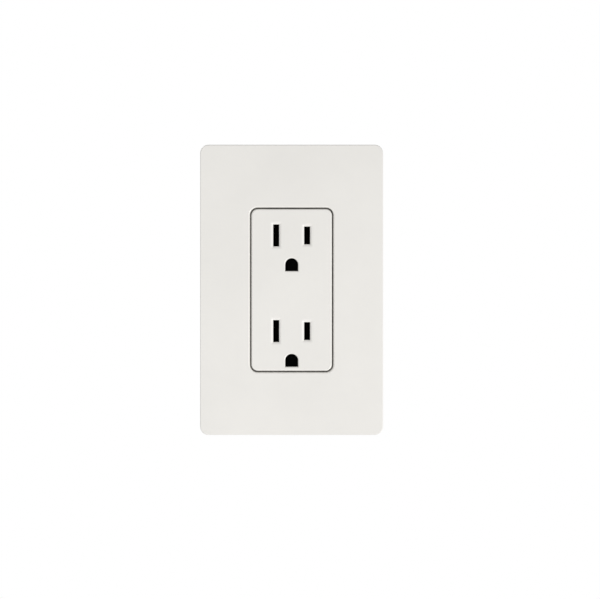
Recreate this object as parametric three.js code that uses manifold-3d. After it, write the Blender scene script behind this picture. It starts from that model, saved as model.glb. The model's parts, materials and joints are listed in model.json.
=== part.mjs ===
// Duplex wall outlet, two grounded receptacles behind a screwless clip-on wall plate.
//
// Millimetres. X is to the right as the outlet is faced, Y goes into the wall and Z is up.
// The finished wall is the plane Y = 0, and X = Z = 0 is the centre of the plate and the strap.
// Everything in front of the wall has a negative Y.

import * as THREE from "three";
import { mergeVertices } from "three/addons/utils/BufferGeometryUtils.js";
import Module from "manifold-3d";

const wasm = await Module();
wasm.setup();

// ---------------------------------------------------------------- driving dimensions

const FIT = 0.02; // gap between flat faces that bear on each other
const OVERLAP = 0.2; // how far two shapes that are joined into one piece run into each other
const PAST = 1; // how far a cutter runs past the face that it opens

// wall plate
const PLATE = { width: 75, height: 119, corner: 3.4, depth: 7.6, skin: 2, wall: 1.8 };
const PLATE_EDGE = 0.8;
const WINDOW = { width: 34.1, height: 67.4, corner: 3.1, lip: 1.2, lipBack: -3.6 };
const RIDGE = { across: 18, down: [-36, 0, 36], half: 4, reach: 0.6, y: [-1.9, -0.9] };
const PRY_SLOT = { half: 5, front: -1.4 };

// raised face of the outlet, and the housing behind it
const FACE = { width: 33, height: 66.3, corner: 2.6, front: -7.9, skin: 2.4, wall: 1.8 };
const HOUSING = { width: 34.6, height: 69.6, corner: 3, split: -1.5, back: 24 };
const FACE_EDGE = 0.5;
const FLANGE_FRONT = -3;
const BODY_SLANT = { across: 2, deep: 2.5 };
const SEAT = { side: 1.7, end: 1.6, corner: 1.4, back: 0.1 }; // hollow that takes the strap

// blade and ground openings of one receptacle, on the centres of a 15 A grounded outlet
const BLADE_X = 6.35;
const BLADE_Z = [22.35, -16.9];
const GROUND_DROP = 12;
const SLOT_WIDTH = 2.3;
const NEUTRAL_SLOT = 8.9;
const HOT_SLOT = 7.2;
const GROUND_R = 2.65;
const SLOT_BEVEL = { grow: 0.85, depth: 0.45 };
const GROUND_BEVEL = { grow: 0.4, depth: 0.3 };
const GUIDE_WALL = 1.1;
const GUIDE_BACK = 1.8;

// mounting strap
const STRAP = { thick: 1.3, halfLength: 53, neck: 23, web: 7.4, middle: 19 };
const BOX_SCREW_Z = 41.67;
const PLATE_SCREW_Z = 48.4;
const EAR = { x: 14.2, r: 6.2, hole: 1.7 };
const BOX_SLOT = { length: 9.2, width: 4.4 };
const HOUSING_SCREW = { x: 8.4, z: 31.6, boss: 2.6, pilot: 1.45, hole: 1.7, sink: 2.7 };
const EAR_GAP = { x: 10.4, width: 1.3, height: 5, offset: 4.7 };
const EAR_SCORE = { x: 10.3, half: 0.25, reach: 8, depth: 0.4 };
const RIVET = { z: [3.75, -22.5], head: 1.9, shank: 1.2, hole: 1.45, rise: 0.7 };

// side terminals
const TERMINAL = { y: 9.5, z: 11, halfRecess: 5.6 };
const GROUND_TERMINAL = { y: 5.6, z: -29.3 };
const BUS = { inner: 12.4, outer: 13.4, thick: 0.8 };
const BUS_WEB_Y = 18.4;
const BREAK_TAB = { half: 2.5, halfDepth: 1.7, window: 3, windowDepth: 2.6 };
const TAB_OUTER = -14.6;
const TAB = { half: 3.7, back: 10.6, wing: -8, hole: 2.55 };
const CLAMP = { size: 9.3, thick: 1.2, groove: 0.9, rise: 0.35, wireOffset: 3.3, wireR: 1.3 };
const WIRE_X = 14.9; // wire holes beside the bus strips
const GROUND_WIRE = { x: -16.4, r: 1.5, front: 12 };
const STRIP_GAUGE = { half: 1, length: 12.7, depth: 0.5 };

// adapter frame that the wall plate clips on to
const ADAPTER = { width: 69.8, height: 113.8, corner: 2.2, front: -5.1, thick: 1.5, wall: 1.5 };
const ADAPTER_WINDOW = { width: 38, height: 71.4, corner: 4.6, rim: 1.5 };
const ADAPTER_RIB = { half: 0.6, back: -1.6, x: 7, z: [46.2, 55.8], across: 20 };
const ADAPTER_SLOT = { width: 14, height: 6, corner: 1.5, x: 22, z: 46 };
const ADAPTER_SCREW = { boss: 3.1, hole: 1.9, sink: { grow: 1.35, depth: 1.4 } };
const GROOVE = { y: [-2.1, -0.7], depth: 0.4 }; // round the skirt, for the plate's ridges

// ---------------------------------------------------------------- solids

// A three.js geometry as a manifold-3d solid.
function solid(geometry) {
  const plain = geometry.index ? geometry.toNonIndexed() : geometry.clone();
  plain.deleteAttribute("normal");
  plain.deleteAttribute("uv");
  const merged = mergeVertices(plain, 1e-4);
  const mesh = new wasm.Mesh({
    numProp: 3,
    vertProperties: merged.attributes.position.array,
    triVerts: new Uint32Array(merged.index.array),
  });
  return new wasm.Manifold(mesh);
}

// A manifold-3d solid as a three.js geometry.
function geometryOf(shape) {
  const mesh = shape.getMesh();
  const positions = new Float32Array(mesh.numVert * 3);
  for (let i = 0; i < mesh.numVert; i++) {
    const start = i * mesh.numProp;
    positions.set(mesh.vertProperties.subarray(start, start + 3), i * 3);
  }
  const geometry = new THREE.BufferGeometry();
  geometry.setAttribute("position", new THREE.BufferAttribute(positions, 3));
  geometry.setIndex(new THREE.BufferAttribute(mesh.triVerts, 1));
  geometry.computeVertexNormals();
  return geometry;
}

const join = (...shapes) => shapes.flat().reduce((all, next) => all.add(next));
const cut = (shape, ...tools) => tools.flat().reduce((left, tool) => left.subtract(tool), shape);

// A box between two limits on each axis.
function box([x0, x1], [y0, y1], [z0, z1]) {
  const geometry = new THREE.BoxGeometry(x1 - x0, y1 - y0, z1 - z0);
  return solid(geometry.translate((x0 + x1) / 2, (y0 + y1) / 2, (z0 + z1) / 2));
}

// A rounded rectangle in the plane of the wall, centred on (x, z).
function rectangle(width, height, corner, x = 0, z = 0) {
  const shape = new THREE.Shape();
  const right = x + width / 2;
  const top = z + height / 2;
  const left = x - width / 2;
  const bottom = z - height / 2;
  const quarter = Math.PI / 2;
  shape.moveTo(left + corner, bottom);
  shape.absarc(right - corner, bottom + corner, corner, -quarter, 0);
  shape.absarc(right - corner, top - corner, corner, 0, quarter);
  shape.absarc(left + corner, top - corner, corner, quarter, 2 * quarter);
  shape.absarc(left + corner, bottom + corner, corner, 2 * quarter, 3 * quarter);
  shape.closePath();
  return shape;
}

// The ground opening: a half-round arch over a flat sill, grown outward all round.
function arch(x, z, grow = 0) {
  const r = GROUND_R + grow;
  const shape = new THREE.Shape();
  shape.moveTo(x - r, z - r);
  shape.lineTo(x + r, z - r);
  shape.absarc(x, z, r, 0, Math.PI);
  shape.closePath();
  return shape;
}

function circle(r, x = 0, z = 0) {
  const shape = new THREE.Shape();
  shape.absarc(x, z, r, 0, 2 * Math.PI);
  return shape;
}

// A shape in the plane of the wall, extruded from y0 back to y1.
function slab(shape, y0, y1, arcs = 3) {
  const options = { depth: y1 - y0, bevelEnabled: false, curveSegments: arcs };
  return solid(new THREE.ExtrudeGeometry(shape, options).rotateX(Math.PI / 2).translate(0, y1, 0));
}

// The same, with the front edge at y0 bevelled by size.
function bevelledSlab(shape, y0, y1, size, arcs = 3) {
  const options = {
    depth: y1 - y0,
    curveSegments: arcs,
    bevelSize: size,
    bevelThickness: size,
    bevelOffset: -size,
    bevelSegments: 2,
  };
  const geometry = new THREE.ExtrudeGeometry(shape, options).rotateX(Math.PI / 2);
  const both = solid(geometry.translate(0, y1 + size, 0));
  const far = 200;
  return cut(both, box([-far, far], [y1, y1 + 3 * size + 1], [-far, far]));
}

// A cutter that is the shape at y + depth and is wider by grow where it opens at y.
function flare(shape, y, { grow, depth }, arcs = 6) {
  const options = {
    depth: 1,
    curveSegments: arcs,
    bevelSize: grow,
    bevelThickness: depth,
    bevelSegments: 1,
  };
  return solid(new THREE.ExtrudeGeometry(shape, options).rotateX(Math.PI / 2).translate(0, y, 0));
}

// A closed outline in X and Y, extruded upwards from z0 to z1.
function prism(points, z0, z1) {
  const shape = new THREE.Shape(points.map(([x, y]) => new THREE.Vector2(x, y)));
  const options = { depth: z1 - z0, bevelEnabled: false };
  return solid(new THREE.ExtrudeGeometry(shape, options).translate(0, 0, z0));
}

// A profile of [radius, distance along the axis] points, turned about the Y axis.
function turned(profile, segments = 16) {
  const points = profile.map(([r, along]) => new THREE.Vector2(r, along));
  return solid(new THREE.LatheGeometry(points, segments));
}

// A rod along Y.
function rodY(r, [y0, y1], x = 0, z = 0, segments = 16) {
  const geometry = new THREE.CylinderGeometry(r, r, y1 - y0, segments);
  return solid(geometry.translate(x, (y0 + y1) / 2, z));
}

// A rod along X.
function rodX(r, [x0, x1], y = 0, z = 0, segments = 16) {
  const geometry = new THREE.CylinderGeometry(r, r, x1 - x0, segments).rotateZ(Math.PI / 2);
  return solid(geometry.translate((x0 + x1) / 2, y, z));
}

// The outline of a strip of sheet metal whose middle follows the points.
function strip(points, thick) {
  const path = points.map(([x, y]) => new THREE.Vector2(x, y));
  const offset = (side) =>
    path.map((point, i) => {
      const before = path[i].clone().sub(path[Math.max(i - 1, 0)]);
      const after = path[Math.min(i + 1, path.length - 1)].clone().sub(path[i]);
      const along = before.normalize().add(after.normalize()).normalize();
      return [point.x - (side * along.y * thick) / 2, point.y + (side * along.x * thick) / 2];
    });
  return [...offset(-1), ...offset(1).reverse()];
}

// [low, high] of an interval on one side of the middle, -1 for the left and 1 for the right.
const sided = (side, a, b) => (side > 0 ? [a, b] : [-b, -a]);
const around = (middle, half) => [middle - half, middle + half];
const mirrored = (side, points) => points.map(([x, y]) => [side * x, y]);

const BOTH = [-1, 1];
const GROUND_Z = BLADE_Z.map((z) => z - GROUND_DROP);
const slotHeight = (side) => (side > 0 ? HOT_SLOT : NEUTRAL_SLOT);

// Calls make(side, end) for each of the four corners.
const eachCorner = (make) => BOTH.flatMap((end) => BOTH.flatMap((side) => make(side, end)));

// Calls make(x, z, height) for each of the four blade slots.
const eachSlot = (make) =>
  BLADE_Z.flatMap((z) => BOTH.flatMap((side) => make(side * BLADE_X, z, slotHeight(side))));

// ---------------------------------------------------------------- wall plate and adapter

function wallPlate() {
  const { width, height, corner, depth, skin, wall } = PLATE;
  const { lip, lipBack } = WINDOW;
  const front = -depth;
  const innerX = width / 2 - wall;
  const innerZ = height / 2 - wall;
  const outside = bevelledSlab(rectangle(width, height, corner), front, 0, PLATE_EDGE);
  const inside = slab(rectangle(2 * innerX, 2 * innerZ, corner - wall), front + skin, PAST);
  const rim = slab(
    rectangle(WINDOW.width + 2 * lip, WINDOW.height + 2 * lip, WINDOW.corner + lip),
    front + skin - OVERLAP,
    lipBack,
  );
  const window = slab(rectangle(WINDOW.width, WINDOW.height, WINDOW.corner), front - PAST, PAST);
  // ridges inside the rim that clip on to the adapter, two at each end and three down each side
  const { reach, y, half } = RIDGE;
  const endRidges = eachCorner((side, end) =>
    box(around(side * RIDGE.across, half), y, sided(end, innerZ - reach, innerZ + OVERLAP)),
  );
  const sideRidges = BOTH.flatMap((side) =>
    RIDGE.down.map((z) => box(sided(side, innerX - reach, innerX + OVERLAP), y, around(z, half))),
  );
  const prySlot = box(
    around(0, PRY_SLOT.half),
    [PRY_SLOT.front, PAST],
    [-height / 2 - PAST, -innerZ + OVERLAP],
  );
  return cut(join(cut(outside, inside), rim, endRidges, sideRidges), window, prySlot);
}

function adapterFrame() {
  const { width, height, corner, front, thick, wall } = ADAPTER;
  const { rim } = ADAPTER_WINDOW;
  const back = front + thick;
  const inner = { width: width - 2 * wall, height: height - 2 * wall, corner: 0.8 };
  const rise = [back - OVERLAP, ADAPTER_RIB.back];
  const sheet = slab(rectangle(width, height, corner), front, back);
  const skirt = cut(
    slab(rectangle(width, height, corner), back - OVERLAP, -0.1),
    slab(rectangle(inner.width, inner.height, inner.corner), back - PAST, PAST),
  );
  const windowRim = slab(
    rectangle(
      ADAPTER_WINDOW.width + 2 * rim,
      ADAPTER_WINDOW.height + 2 * rim,
      ADAPTER_WINDOW.corner + rim,
    ),
    back - OVERLAP,
    -STRAP.thick - 0.15,
  );
  const bosses = BOTH.map((end) => {
    const y = [back - OVERLAP, -STRAP.thick - 0.05];
    return rodY(ADAPTER_SCREW.boss, y, 0, end * PLATE_SCREW_Z);
  });
  const endRibs = eachCorner((side, end) =>
    box(around(side * ADAPTER_RIB.x, ADAPTER_RIB.half), rise, sided(end, ...ADAPTER_RIB.z)),
  );
  const sideRibs = BOTH.flatMap((side) =>
    [-27, -9, 9, 27].map((z) => {
      const x = sided(side, ADAPTER_RIB.across, inner.width / 2 + OVERLAP);
      return box(x, rise, around(z, ADAPTER_RIB.half));
    }),
  );
  const window = slab(
    rectangle(ADAPTER_WINDOW.width, ADAPTER_WINDOW.height, ADAPTER_WINDOW.corner),
    front - PAST,
    PAST,
  );
  const screwHoles = BOTH.flatMap((end) => {
    const z = end * PLATE_SCREW_Z;
    return [
      rodY(ADAPTER_SCREW.hole, [front - PAST, PAST], 0, z),
      flare(circle(ADAPTER_SCREW.hole, 0, z), front, ADAPTER_SCREW.sink, 8),
    ];
  });
  const openings = eachCorner((side, end) => {
    const { width: across, height: tall, corner: round, x, z } = ADAPTER_SLOT;
    return slab(rectangle(across, tall, round, side * x, end * z), front - PAST, back + PAST, 2);
  });
  const groove = cut(
    box([-width, width], GROOVE.y, [-height, height]),
    box(around(0, width / 2 - GROOVE.depth), [front, PAST], around(0, height / 2 - GROOVE.depth)),
  );
  const solids = join(sheet, skirt, windowRim, bosses, endRibs, sideRibs);
  return cut(solids, window, screwHoles, openings, groove);
}

// ---------------------------------------------------------------- housing

function frontCover() {
  const { width, height, corner, front, skin, wall } = FACE;
  const { split } = HOUSING;
  const ceiling = front + skin;
  const block = join(
    bevelledSlab(rectangle(width, height, corner), front, FLANGE_FRONT + OVERLAP, FACE_EDGE),
    slab(rectangle(HOUSING.width, HOUSING.height, HOUSING.corner), FLANGE_FRONT, split),
  );
  const hollow = slab(rectangle(width - 2 * wall, height - 2 * wall, 1), ceiling, split + PAST);
  const guides = eachSlot((x, z, h) => {
    const y = [ceiling - OVERLAP, GUIDE_BACK];
    return box(around(x, SLOT_WIDTH / 2 + GUIDE_WALL), y, around(z, h / 2 + GUIDE_WALL));
  });
  const pinGuides = GROUND_Z.map((z) => slab(arch(0, z, GUIDE_WALL), ceiling - OVERLAP, split, 5));
  const bosses = eachCorner((side, end) => {
    const { x, z, boss } = HOUSING_SCREW;
    return rodY(boss, [ceiling - OVERLAP, split], side * x, end * z);
  });
  const pilots = eachCorner((side, end) => {
    const { x, z, pilot } = HOUSING_SCREW;
    return rodY(pilot, [ceiling - 0.1, split + PAST], side * x, end * z, 12);
  });
  const slots = eachSlot((x, z, h) => [
    box(around(x, SLOT_WIDTH / 2), [front - PAST, GUIDE_BACK + PAST], around(z, h / 2)),
    flare(rectangle(SLOT_WIDTH, h, 0.05, x, z), front, SLOT_BEVEL, 1),
  ]);
  const pinHoles = GROUND_Z.flatMap((z) => [
    slab(arch(0, z), front - PAST, PAST, 5),
    flare(arch(0, z), front, GROUND_BEVEL, 5),
  ]);
  const insideFace = join(bosses).intersect(slab(rectangle(width, height, corner), front, split));
  const solids = join(cut(block, hollow), guides, pinGuides, insideFace);
  return cut(solids, pilots, slots, pinHoles);
}

function rearBody() {
  const { width, height, corner, split, back } = HOUSING;
  const front = split + 0.1;
  const open = front - PAST;
  const edgeX = width / 2;
  // the back edges are cut away at a slant, so the body slips into a wall box
  const slants = BOTH.map((side) => {
    const corners = [
      [edgeX + 1, back - BODY_SLANT.deep],
      [edgeX + 1, back + 1],
      [edgeX - BODY_SLANT.across, back + 1],
    ];
    return prism(mirrored(side, corners), -height, height);
  });
  const outer = cut(slab(rectangle(width, height, corner), front, back), slants);
  const seat = slab(
    rectangle(width - 2 * SEAT.side, height - 2 * SEAT.end, SEAT.corner),
    open,
    SEAT.back,
  );
  const strapNotches = box(around(0, STRAP.neck / 2 + 0.3), [open, SEAT.back], [-height, height]);
  const groundPockets = GROUND_Z.map((z) => box(around(0, 3.8), [open, 19], around(z, 3.9)));
  const flangeRecess = [
    box(around(0, 3.8), [open, 1], [GROUND_Z[0] - 9.2, GROUND_Z[0]]),
    box(around(0, 3.8), [open, 1], [GROUND_Z[1], GROUND_Z[1] + 9.2]),
    ...RIVET.z.map((z) => rodY(2.4, [open, 2.6], 0, z)),
  ];
  const linePockets = BLADE_Z.flatMap((z) =>
    BOTH.map((side) => box(sided(side, 4.05, BUS.outer + 0.15), [open, 20], around(z, 5.75))),
  );
  const sidePlates = BOTH.map((side) =>
    box(sided(side, BUS.inner - 0.2, BUS.outer + 0.15), [open, 15.3], [-17.9, 17.9]),
  );
  const tips = eachCorner((side, end) =>
    box(sided(side, 7.9, BUS.inner), [open, 12.2], around(end * TERMINAL.z, 2.7)),
  );
  const sideX = (side) => sided(side, BUS.outer - 0.4, width);
  const recesses = eachCorner((side, end) =>
    box(sideX(side), around(TERMINAL.y, 6), around(end * TERMINAL.z, TERMINAL.halfRecess)),
  );
  const tabWindows = BOTH.map((side) =>
    box(sideX(side), around(TERMINAL.y, BREAK_TAB.windowDepth), around(0, BREAK_TAB.window)),
  );
  const wireHoles = eachCorner((side, end) =>
    BOTH.flatMap((hand) => {
      const z = end * TERMINAL.z + hand * CLAMP.wireOffset;
      return wireEntry(side * WIRE_X, z, TERMINAL.y + 5);
    }),
  );
  const groundCorner = box([-width, -12.9], [open, 12.2], [-height, GROUND_TERMINAL.z + 5.1]);
  const groundTip = rodX(2.7, [-14, -11], GROUND_TERMINAL.y, GROUND_TERMINAL.z, 12);
  const groundWires = BOTH.map((hand) => {
    const z = GROUND_TERMINAL.z + hand * CLAMP.wireOffset;
    return rodY(GROUND_WIRE.r, [GROUND_WIRE.front, back + PAST], GROUND_WIRE.x, z, 12);
  });
  const screwHoles = eachCorner((side, end) => {
    const { x, z, hole, sink } = HOUSING_SCREW;
    return [
      rodY(hole, [open, back + PAST], side * x, end * z, 12),
      rodY(sink, [back - 2.6, back + PAST], side * x, end * z, 16),
    ];
  });
  const stripGauge = box(
    around(0, STRIP_GAUGE.half),
    [back - STRIP_GAUGE.depth, back + PAST],
    around(0, STRIP_GAUGE.length / 2),
  );
  return cut(
    outer,
    seat,
    strapNotches,
    groundPockets,
    flangeRecess,
    linePockets,
    sidePlates,
    tips,
    recesses,
    tabWindows,
    wireHoles,
    groundCorner,
    groundTip,
    groundWires,
    screwHoles,
    stripGauge,
  );
}

// A hole for a stripped wire, from the back of the body forward to y, with a wide mouth.
function wireEntry(x, z, y) {
  const { back } = HOUSING;
  const { wireR } = CLAMP;
  const funnel = [
    [0, back - 1.2],
    [wireR, back - 1.2],
    [2.1, back + 0.2],
    [0, back + 0.2],
  ];
  return [rodY(wireR, [y, back + PAST], x, z, 12), turned(funnel, 12).translate([x, 0, z])];
}

// ---------------------------------------------------------------- strap and ground contacts

function mountingStrap() {
  const { thick, halfLength, neck, web, middle } = STRAP;
  const through = [-thick - PAST, PAST];
  const sheet = (shape, arcs = 3) => slab(shape, -thick, 0, arcs);
  const bar = (width, low, high) => box(around(0, width / 2), [-thick, 0], [low, high]);
  const ends = BOTH.map((end) => {
    const start = end > 0 ? 28.5 : 23;
    const middleZ = (end * (halfLength + start)) / 2;
    return sheet(rectangle(neck, halfLength - start, 2.5, 0, middleZ));
  });
  const ears = eachCorner((side, end) => [
    sheet(circle(EAR.r, side * EAR.x, end * PLATE_SCREW_Z), 12),
    box(sided(side, 5, EAR.x), [-thick, 0], around(end * PLATE_SCREW_Z, 2.2)),
  ]);
  const spine = [bar(web, -24, 30), bar(middle, BLADE_Z[1] + 6.1, BLADE_Z[0] - 6.1)];
  // wing and tab that carry the ground terminal, bent back along the left side of the body
  const tabZ = around(GROUND_TERMINAL.z, TAB.half);
  const wing = box([TAB_OUTER, TAB.wing], [-thick, 0], tabZ);
  const tab = box([TAB_OUTER, TAB_OUTER + thick], [-thick, TAB.back], tabZ);
  // each ear is scored at its neck, so that it can be bent off
  const scores = eachCorner((side, end) => {
    const { x, half, depth, reach } = EAR_SCORE;
    const y = [-thick - PAST, -thick + depth];
    return box(around(side * x, half), y, around(end * PLATE_SCREW_Z, reach));
  });
  const gaps = eachCorner((side, end) =>
    BOTH.map((hand) => {
      const z = end * PLATE_SCREW_Z + hand * EAR_GAP.offset;
      const shape = rectangle(EAR_GAP.width, EAR_GAP.height, 0.6, side * EAR_GAP.x, z);
      return slab(shape, ...through, 1);
    }),
  );
  const endHoles = BOTH.flatMap((end) => {
    const { length, width } = BOX_SLOT;
    const boxSlot = rectangle(length, width, width / 2 - 0.01, 0, end * BOX_SCREW_Z);
    return [slab(boxSlot, ...through, 4), rodY(1.9, through, 0, end * PLATE_SCREW_Z)];
  });
  const cornerHoles = eachCorner((side, end) => [
    rodY(1.75, through, side * HOUSING_SCREW.x, end * HOUSING_SCREW.z, 16),
    rodY(EAR.hole, through, side * (EAR.x + 0.6), end * PLATE_SCREW_Z, 12),
  ]);
  const pinHoles = GROUND_Z.map((z) => slab(arch(0, z, 0.5), ...through, 4));
  const rivetHoles = RIVET.z.map((z) => rodY(RIVET.hole, through, 0, z, 12));
  const terminalHole = rodX(
    TAB.hole,
    [TAB_OUTER - PAST, TAB_OUTER + thick + PAST],
    GROUND_TERMINAL.y,
    GROUND_TERMINAL.z,
  );
  return cut(
    join(ends, ears, spine, wing, tab),
    scores,
    gaps,
    endHoles,
    cornerHoles,
    pinHoles,
    rivetHoles,
    terminalHole,
  );
}

// Two spring fingers that grip the ground pin, on a flange that is riveted behind the strap.
function groundContact(pinZ, rivetZ) {
  const sheet = 0.7;
  const flangeBack = FIT + 0.8;
  const reach = Math.sign(rivetZ - pinZ);
  const flangeZ = sided(reach, reach * pinZ - 3.4, reach * rivetZ + 2.3);
  const flange = box(around(0, 3.5), [FIT, flangeBack], flangeZ);
  const finger = [[3.1, FIT + 0.4], [3.1, 4], [2.52, 9], [2.95, 13.5]];
  const fingers = BOTH.map((side) =>
    prism(strip(mirrored(side, finger), sheet), pinZ - 2.8, pinZ + 2.8),
  );
  const hole = slab(arch(0, pinZ, 0.1), -PAST, 2, 5);
  const inside = box(around(0, 2.75), [FIT - PAST, flangeBack + 0.4], around(pinZ, 2.7));
  return cut(join(flange, fingers), hole, inside, rodY(RIVET.hole, [-PAST, 3], 0, rivetZ, 12));
}

// A rivet through the strap and a contact's flange, with a head on both sides.
function rivet() {
  const { head, shank, rise } = RIVET;
  const front = -STRAP.thick - FIT;
  const back = 2 * FIT + 0.8;
  const profile = [
    [0, front - rise],
    [1.2, front - 0.6],
    [head, front],
    [shank, front],
    [shank, back],
    [head, back],
    [1.2, back + 0.6],
    [0, back + rise],
  ];
  return turned(profile, 14);
}

// ---------------------------------------------------------------- line contacts

// One side's brass strip: a plate under the two screws, a break-off tab between its halves,
// and for each receptacle a pair of fingers that wipe both faces of the blade.
function busStrip(side) {
  const { inner, outer, thick } = BUS;
  const plateX = sided(side, inner, outer);
  const halves = BOTH.map((end) => box(plateX, [4.6, 15], sided(end, 2.2, 17.4)));
  const tab = box(plateX, around(TERMINAL.y, BREAK_TAB.halfDepth), around(0, BREAK_TAB.half));
  const finger = [[1.5, BUS_WEB_Y + 0.2], [1.5, 15], [0.95, 8.5], [1.5, 5]];
  const clips = BLADE_Z.flatMap((z) => {
    const [low, high] = around(z, slotHeight(side) / 2 - 0.4);
    const leg = box(plateX, [13, BUS_WEB_Y + thick / 2], [z > 0 ? 16.7 : low, high]);
    const web = box(sided(side, BLADE_X - 1.6, outer), around(BUS_WEB_Y, thick / 2), [low, high]);
    const leaves = BOTH.map((hand) => {
      const path = finger.map(([offset, y]) => [side * BLADE_X + hand * offset, y]);
      return prism(strip(path, thick), low + 0.1, high - 0.1);
    });
    return [leg, web, ...leaves];
  });
  const screwHoles = BOTH.map((end) => {
    const x = around(side * outer, 3);
    return rodX(2.25, x, TERMINAL.y, end * TERMINAL.z);
  });
  return cut(join(halves, tab, clips), screwHoles);
}

// ---------------------------------------------------------------- screws, clamps and retainers

// Each screw is turned about its own Y axis: 0 is under the head, the head is on the positive side.

// A slot or a square recess that is cut into a screw's head from y upwards.
const recess = (halfLength, halfWidth, y) =>
  box(around(0, halfLength), [y, y + 3], around(0, halfWidth));

// A binding-head terminal screw with a slot and a square socket.
function terminalScrew() {
  const shank = [[0, -6.2], [1.3, -6.2], [1.95, -5.5], [1.95, 0]];
  const head = [[4.1, 0], [4.1, 1], [3.4, 1.75], [0, 2.1]];
  return cut(turned([...shank, ...head], 18), recess(5, 0.6, 1.1), recess(1.3, 1.3, 0.8));
}

// The hexagon-head ground screw, with a washer face under the hexagon.
function groundScrew() {
  const shank = [[0, -4.8], [1.6, -4.8], [2.25, -4.1], [2.25, 0]];
  const washer = [[4.6, 0], [4.6, 0.6], [0, 0.6]];
  const hexagon = [[0, 0.4], [3.8, 0.4], [3.8, 2.5], [3.3, 2.9], [0, 2.9]];
  return cut(join(turned([...shank, ...washer], 18), turned(hexagon, 6)), recess(6, 0.6, 1.9));
}

// The machine screw that fastens the strap to the wall box.
function mountingScrew() {
  const shank = [[0, -25.4], [1, -25.4], [1.6, -24.6], [1.6, 0]];
  const head = [[3.3, 0], [3.3, 0.8], [2.5, 1.7], [0, 2]];
  return cut(turned([...shank, ...head], 16), recess(4, 0.5, 1), recess(0.5, 1.9, 0.7));
}

// The countersunk screw of the adapter. 0 is the top of its head.
function adapterScrew() {
  const shank = [[0, -8.5], [0.9, -8.5], [1.5, -7.8], [1.5, -1.6]];
  const head = [[3, -0.15], [3, 0], [0, 0]];
  return cut(turned([...shank, ...head], 16), recess(4, 0.5, -0.8));
}

// The long screw that holds cover, strap and body together. 0 is under its head.
function housingScrew() {
  const shank = [[0, -26.2], [1.15, -26.2], [1.15, 0]];
  const head = [[2.3, 0], [2.3, 1.2], [1.7, 1.7], [0, 1.8]];
  return cut(turned([...shank, ...head], 14), recess(0.9, 0.9, 1));
}

// The square plate that a terminal screw presses on the wire, grooved underneath for two wires.
function wireClamp(bore) {
  const { size, thick, groove, rise, wireOffset } = CLAMP;
  const plate = box(around(0, size / 2), [0, thick], around(0, size / 2));
  const grooves = BOTH.map((hand) => rodX(groove, [-size, size], -rise, hand * wireOffset, 12));
  return cut(plate, grooves, rodY(bore, [-PAST, 3]));
}

// The fibre washer that keeps a mounting screw in the strap's slot.
function screwRetainer() {
  return cut(slab(rectangle(11.5, 8.6, 1.2), 0.05, 0.85, 2), rodY(1.8, [-PAST, 2]));
}

// ---------------------------------------------------------------- materials

const finish = (color, roughness, metalness = 0) =>
  new THREE.MeshStandardMaterial({ color, roughness, metalness });
const MATERIALS = {
  whitePlastic: finish(0xebe9e5, 0.35),
  adapterPlastic: finish(0xe2e1dd, 0.5),
  blackPlastic: finish(0x1b1b1c, 0.5),
  zincSteel: finish(0xb9bbbb, 0.35, 0.9),
  brass: finish(0xc79a4b, 0.3, 0.9),
  brassScrew: finish(0xb98d3f, 0.3, 0.9),
  nickelScrew: finish(0xc9c9c6, 0.25, 0.9),
  greenScrew: finish(0x2f7d46, 0.35, 0.6),
  clampSteel: finish(0x9fa1a0, 0.4, 0.9),
  whiteScrew: finish(0xe8e6e1, 0.4),
  fibre: finish(0x6a4a33, 0.85),
};

// ---------------------------------------------------------------- assembly

const outlet = new THREE.Group();

// Adds one named piece to the outlet.
function add(name, geometry, material, [x, y, z] = [0, 0, 0], turn = 0) {
  const mesh = new THREE.Mesh(geometry, material);
  mesh.name = name;
  mesh.position.set(x, y, z);
  mesh.rotation.z = turn;
  outlet.add(mesh);
}

// turns about Z that point a screw's head at the room, at the back or out at one side
const TO_ROOM = Math.PI;
const TO_BACK = 0;
const toSide = (side) => (-side * Math.PI) / 2;

const LEVELS = { upper: 0, lower: 1 };
const ENDS = { top: 1, bottom: -1 };
const SIDES = { neutral: -1, hot: 1 };

add("wall_plate", geometryOf(wallPlate()), MATERIALS.whitePlastic);
add("plate_adapter", geometryOf(adapterFrame()), MATERIALS.adapterPlastic);
add("front_cover", geometryOf(frontCover()), MATERIALS.whitePlastic);
add("rear_body", geometryOf(rearBody()), MATERIALS.blackPlastic);
add("mounting_strap", geometryOf(mountingStrap()), MATERIALS.zincSteel);

const rivetShape = geometryOf(rivet());
for (const [level, i] of Object.entries(LEVELS)) {
  const contact = geometryOf(groundContact(GROUND_Z[i], RIVET.z[i]));
  add(`ground_contact_${level}`, contact, MATERIALS.brass);
  add(`ground_rivet_${level}`, rivetShape, MATERIALS.nickelScrew, [0, 0, RIVET.z[i]]);
}

const terminalScrewShape = geometryOf(terminalScrew());
const wireClampShape = geometryOf(wireClamp(2.4));
const clampTop = CLAMP.thick + 0.1;
for (const [pole, side] of Object.entries(SIDES)) {
  const metal = side > 0 ? MATERIALS.brassScrew : MATERIALS.nickelScrew;
  const rest = side * (BUS.outer + 0.2);
  const seat = rest + side * clampTop;
  const turn = toSide(side);
  add(`${pole}_bus_strip`, geometryOf(busStrip(side)), MATERIALS.brass);
  for (const [level, i] of Object.entries(LEVELS)) {
    const { y } = TERMINAL;
    const z = (1 - 2 * i) * TERMINAL.z;
    add(`${pole}_wire_clamp_${level}`, wireClampShape, MATERIALS.clampSteel, [rest, y, z], turn);
    add(`${pole}_terminal_screw_${level}`, terminalScrewShape, metal, [seat, y, z], turn);
  }
}

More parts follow.
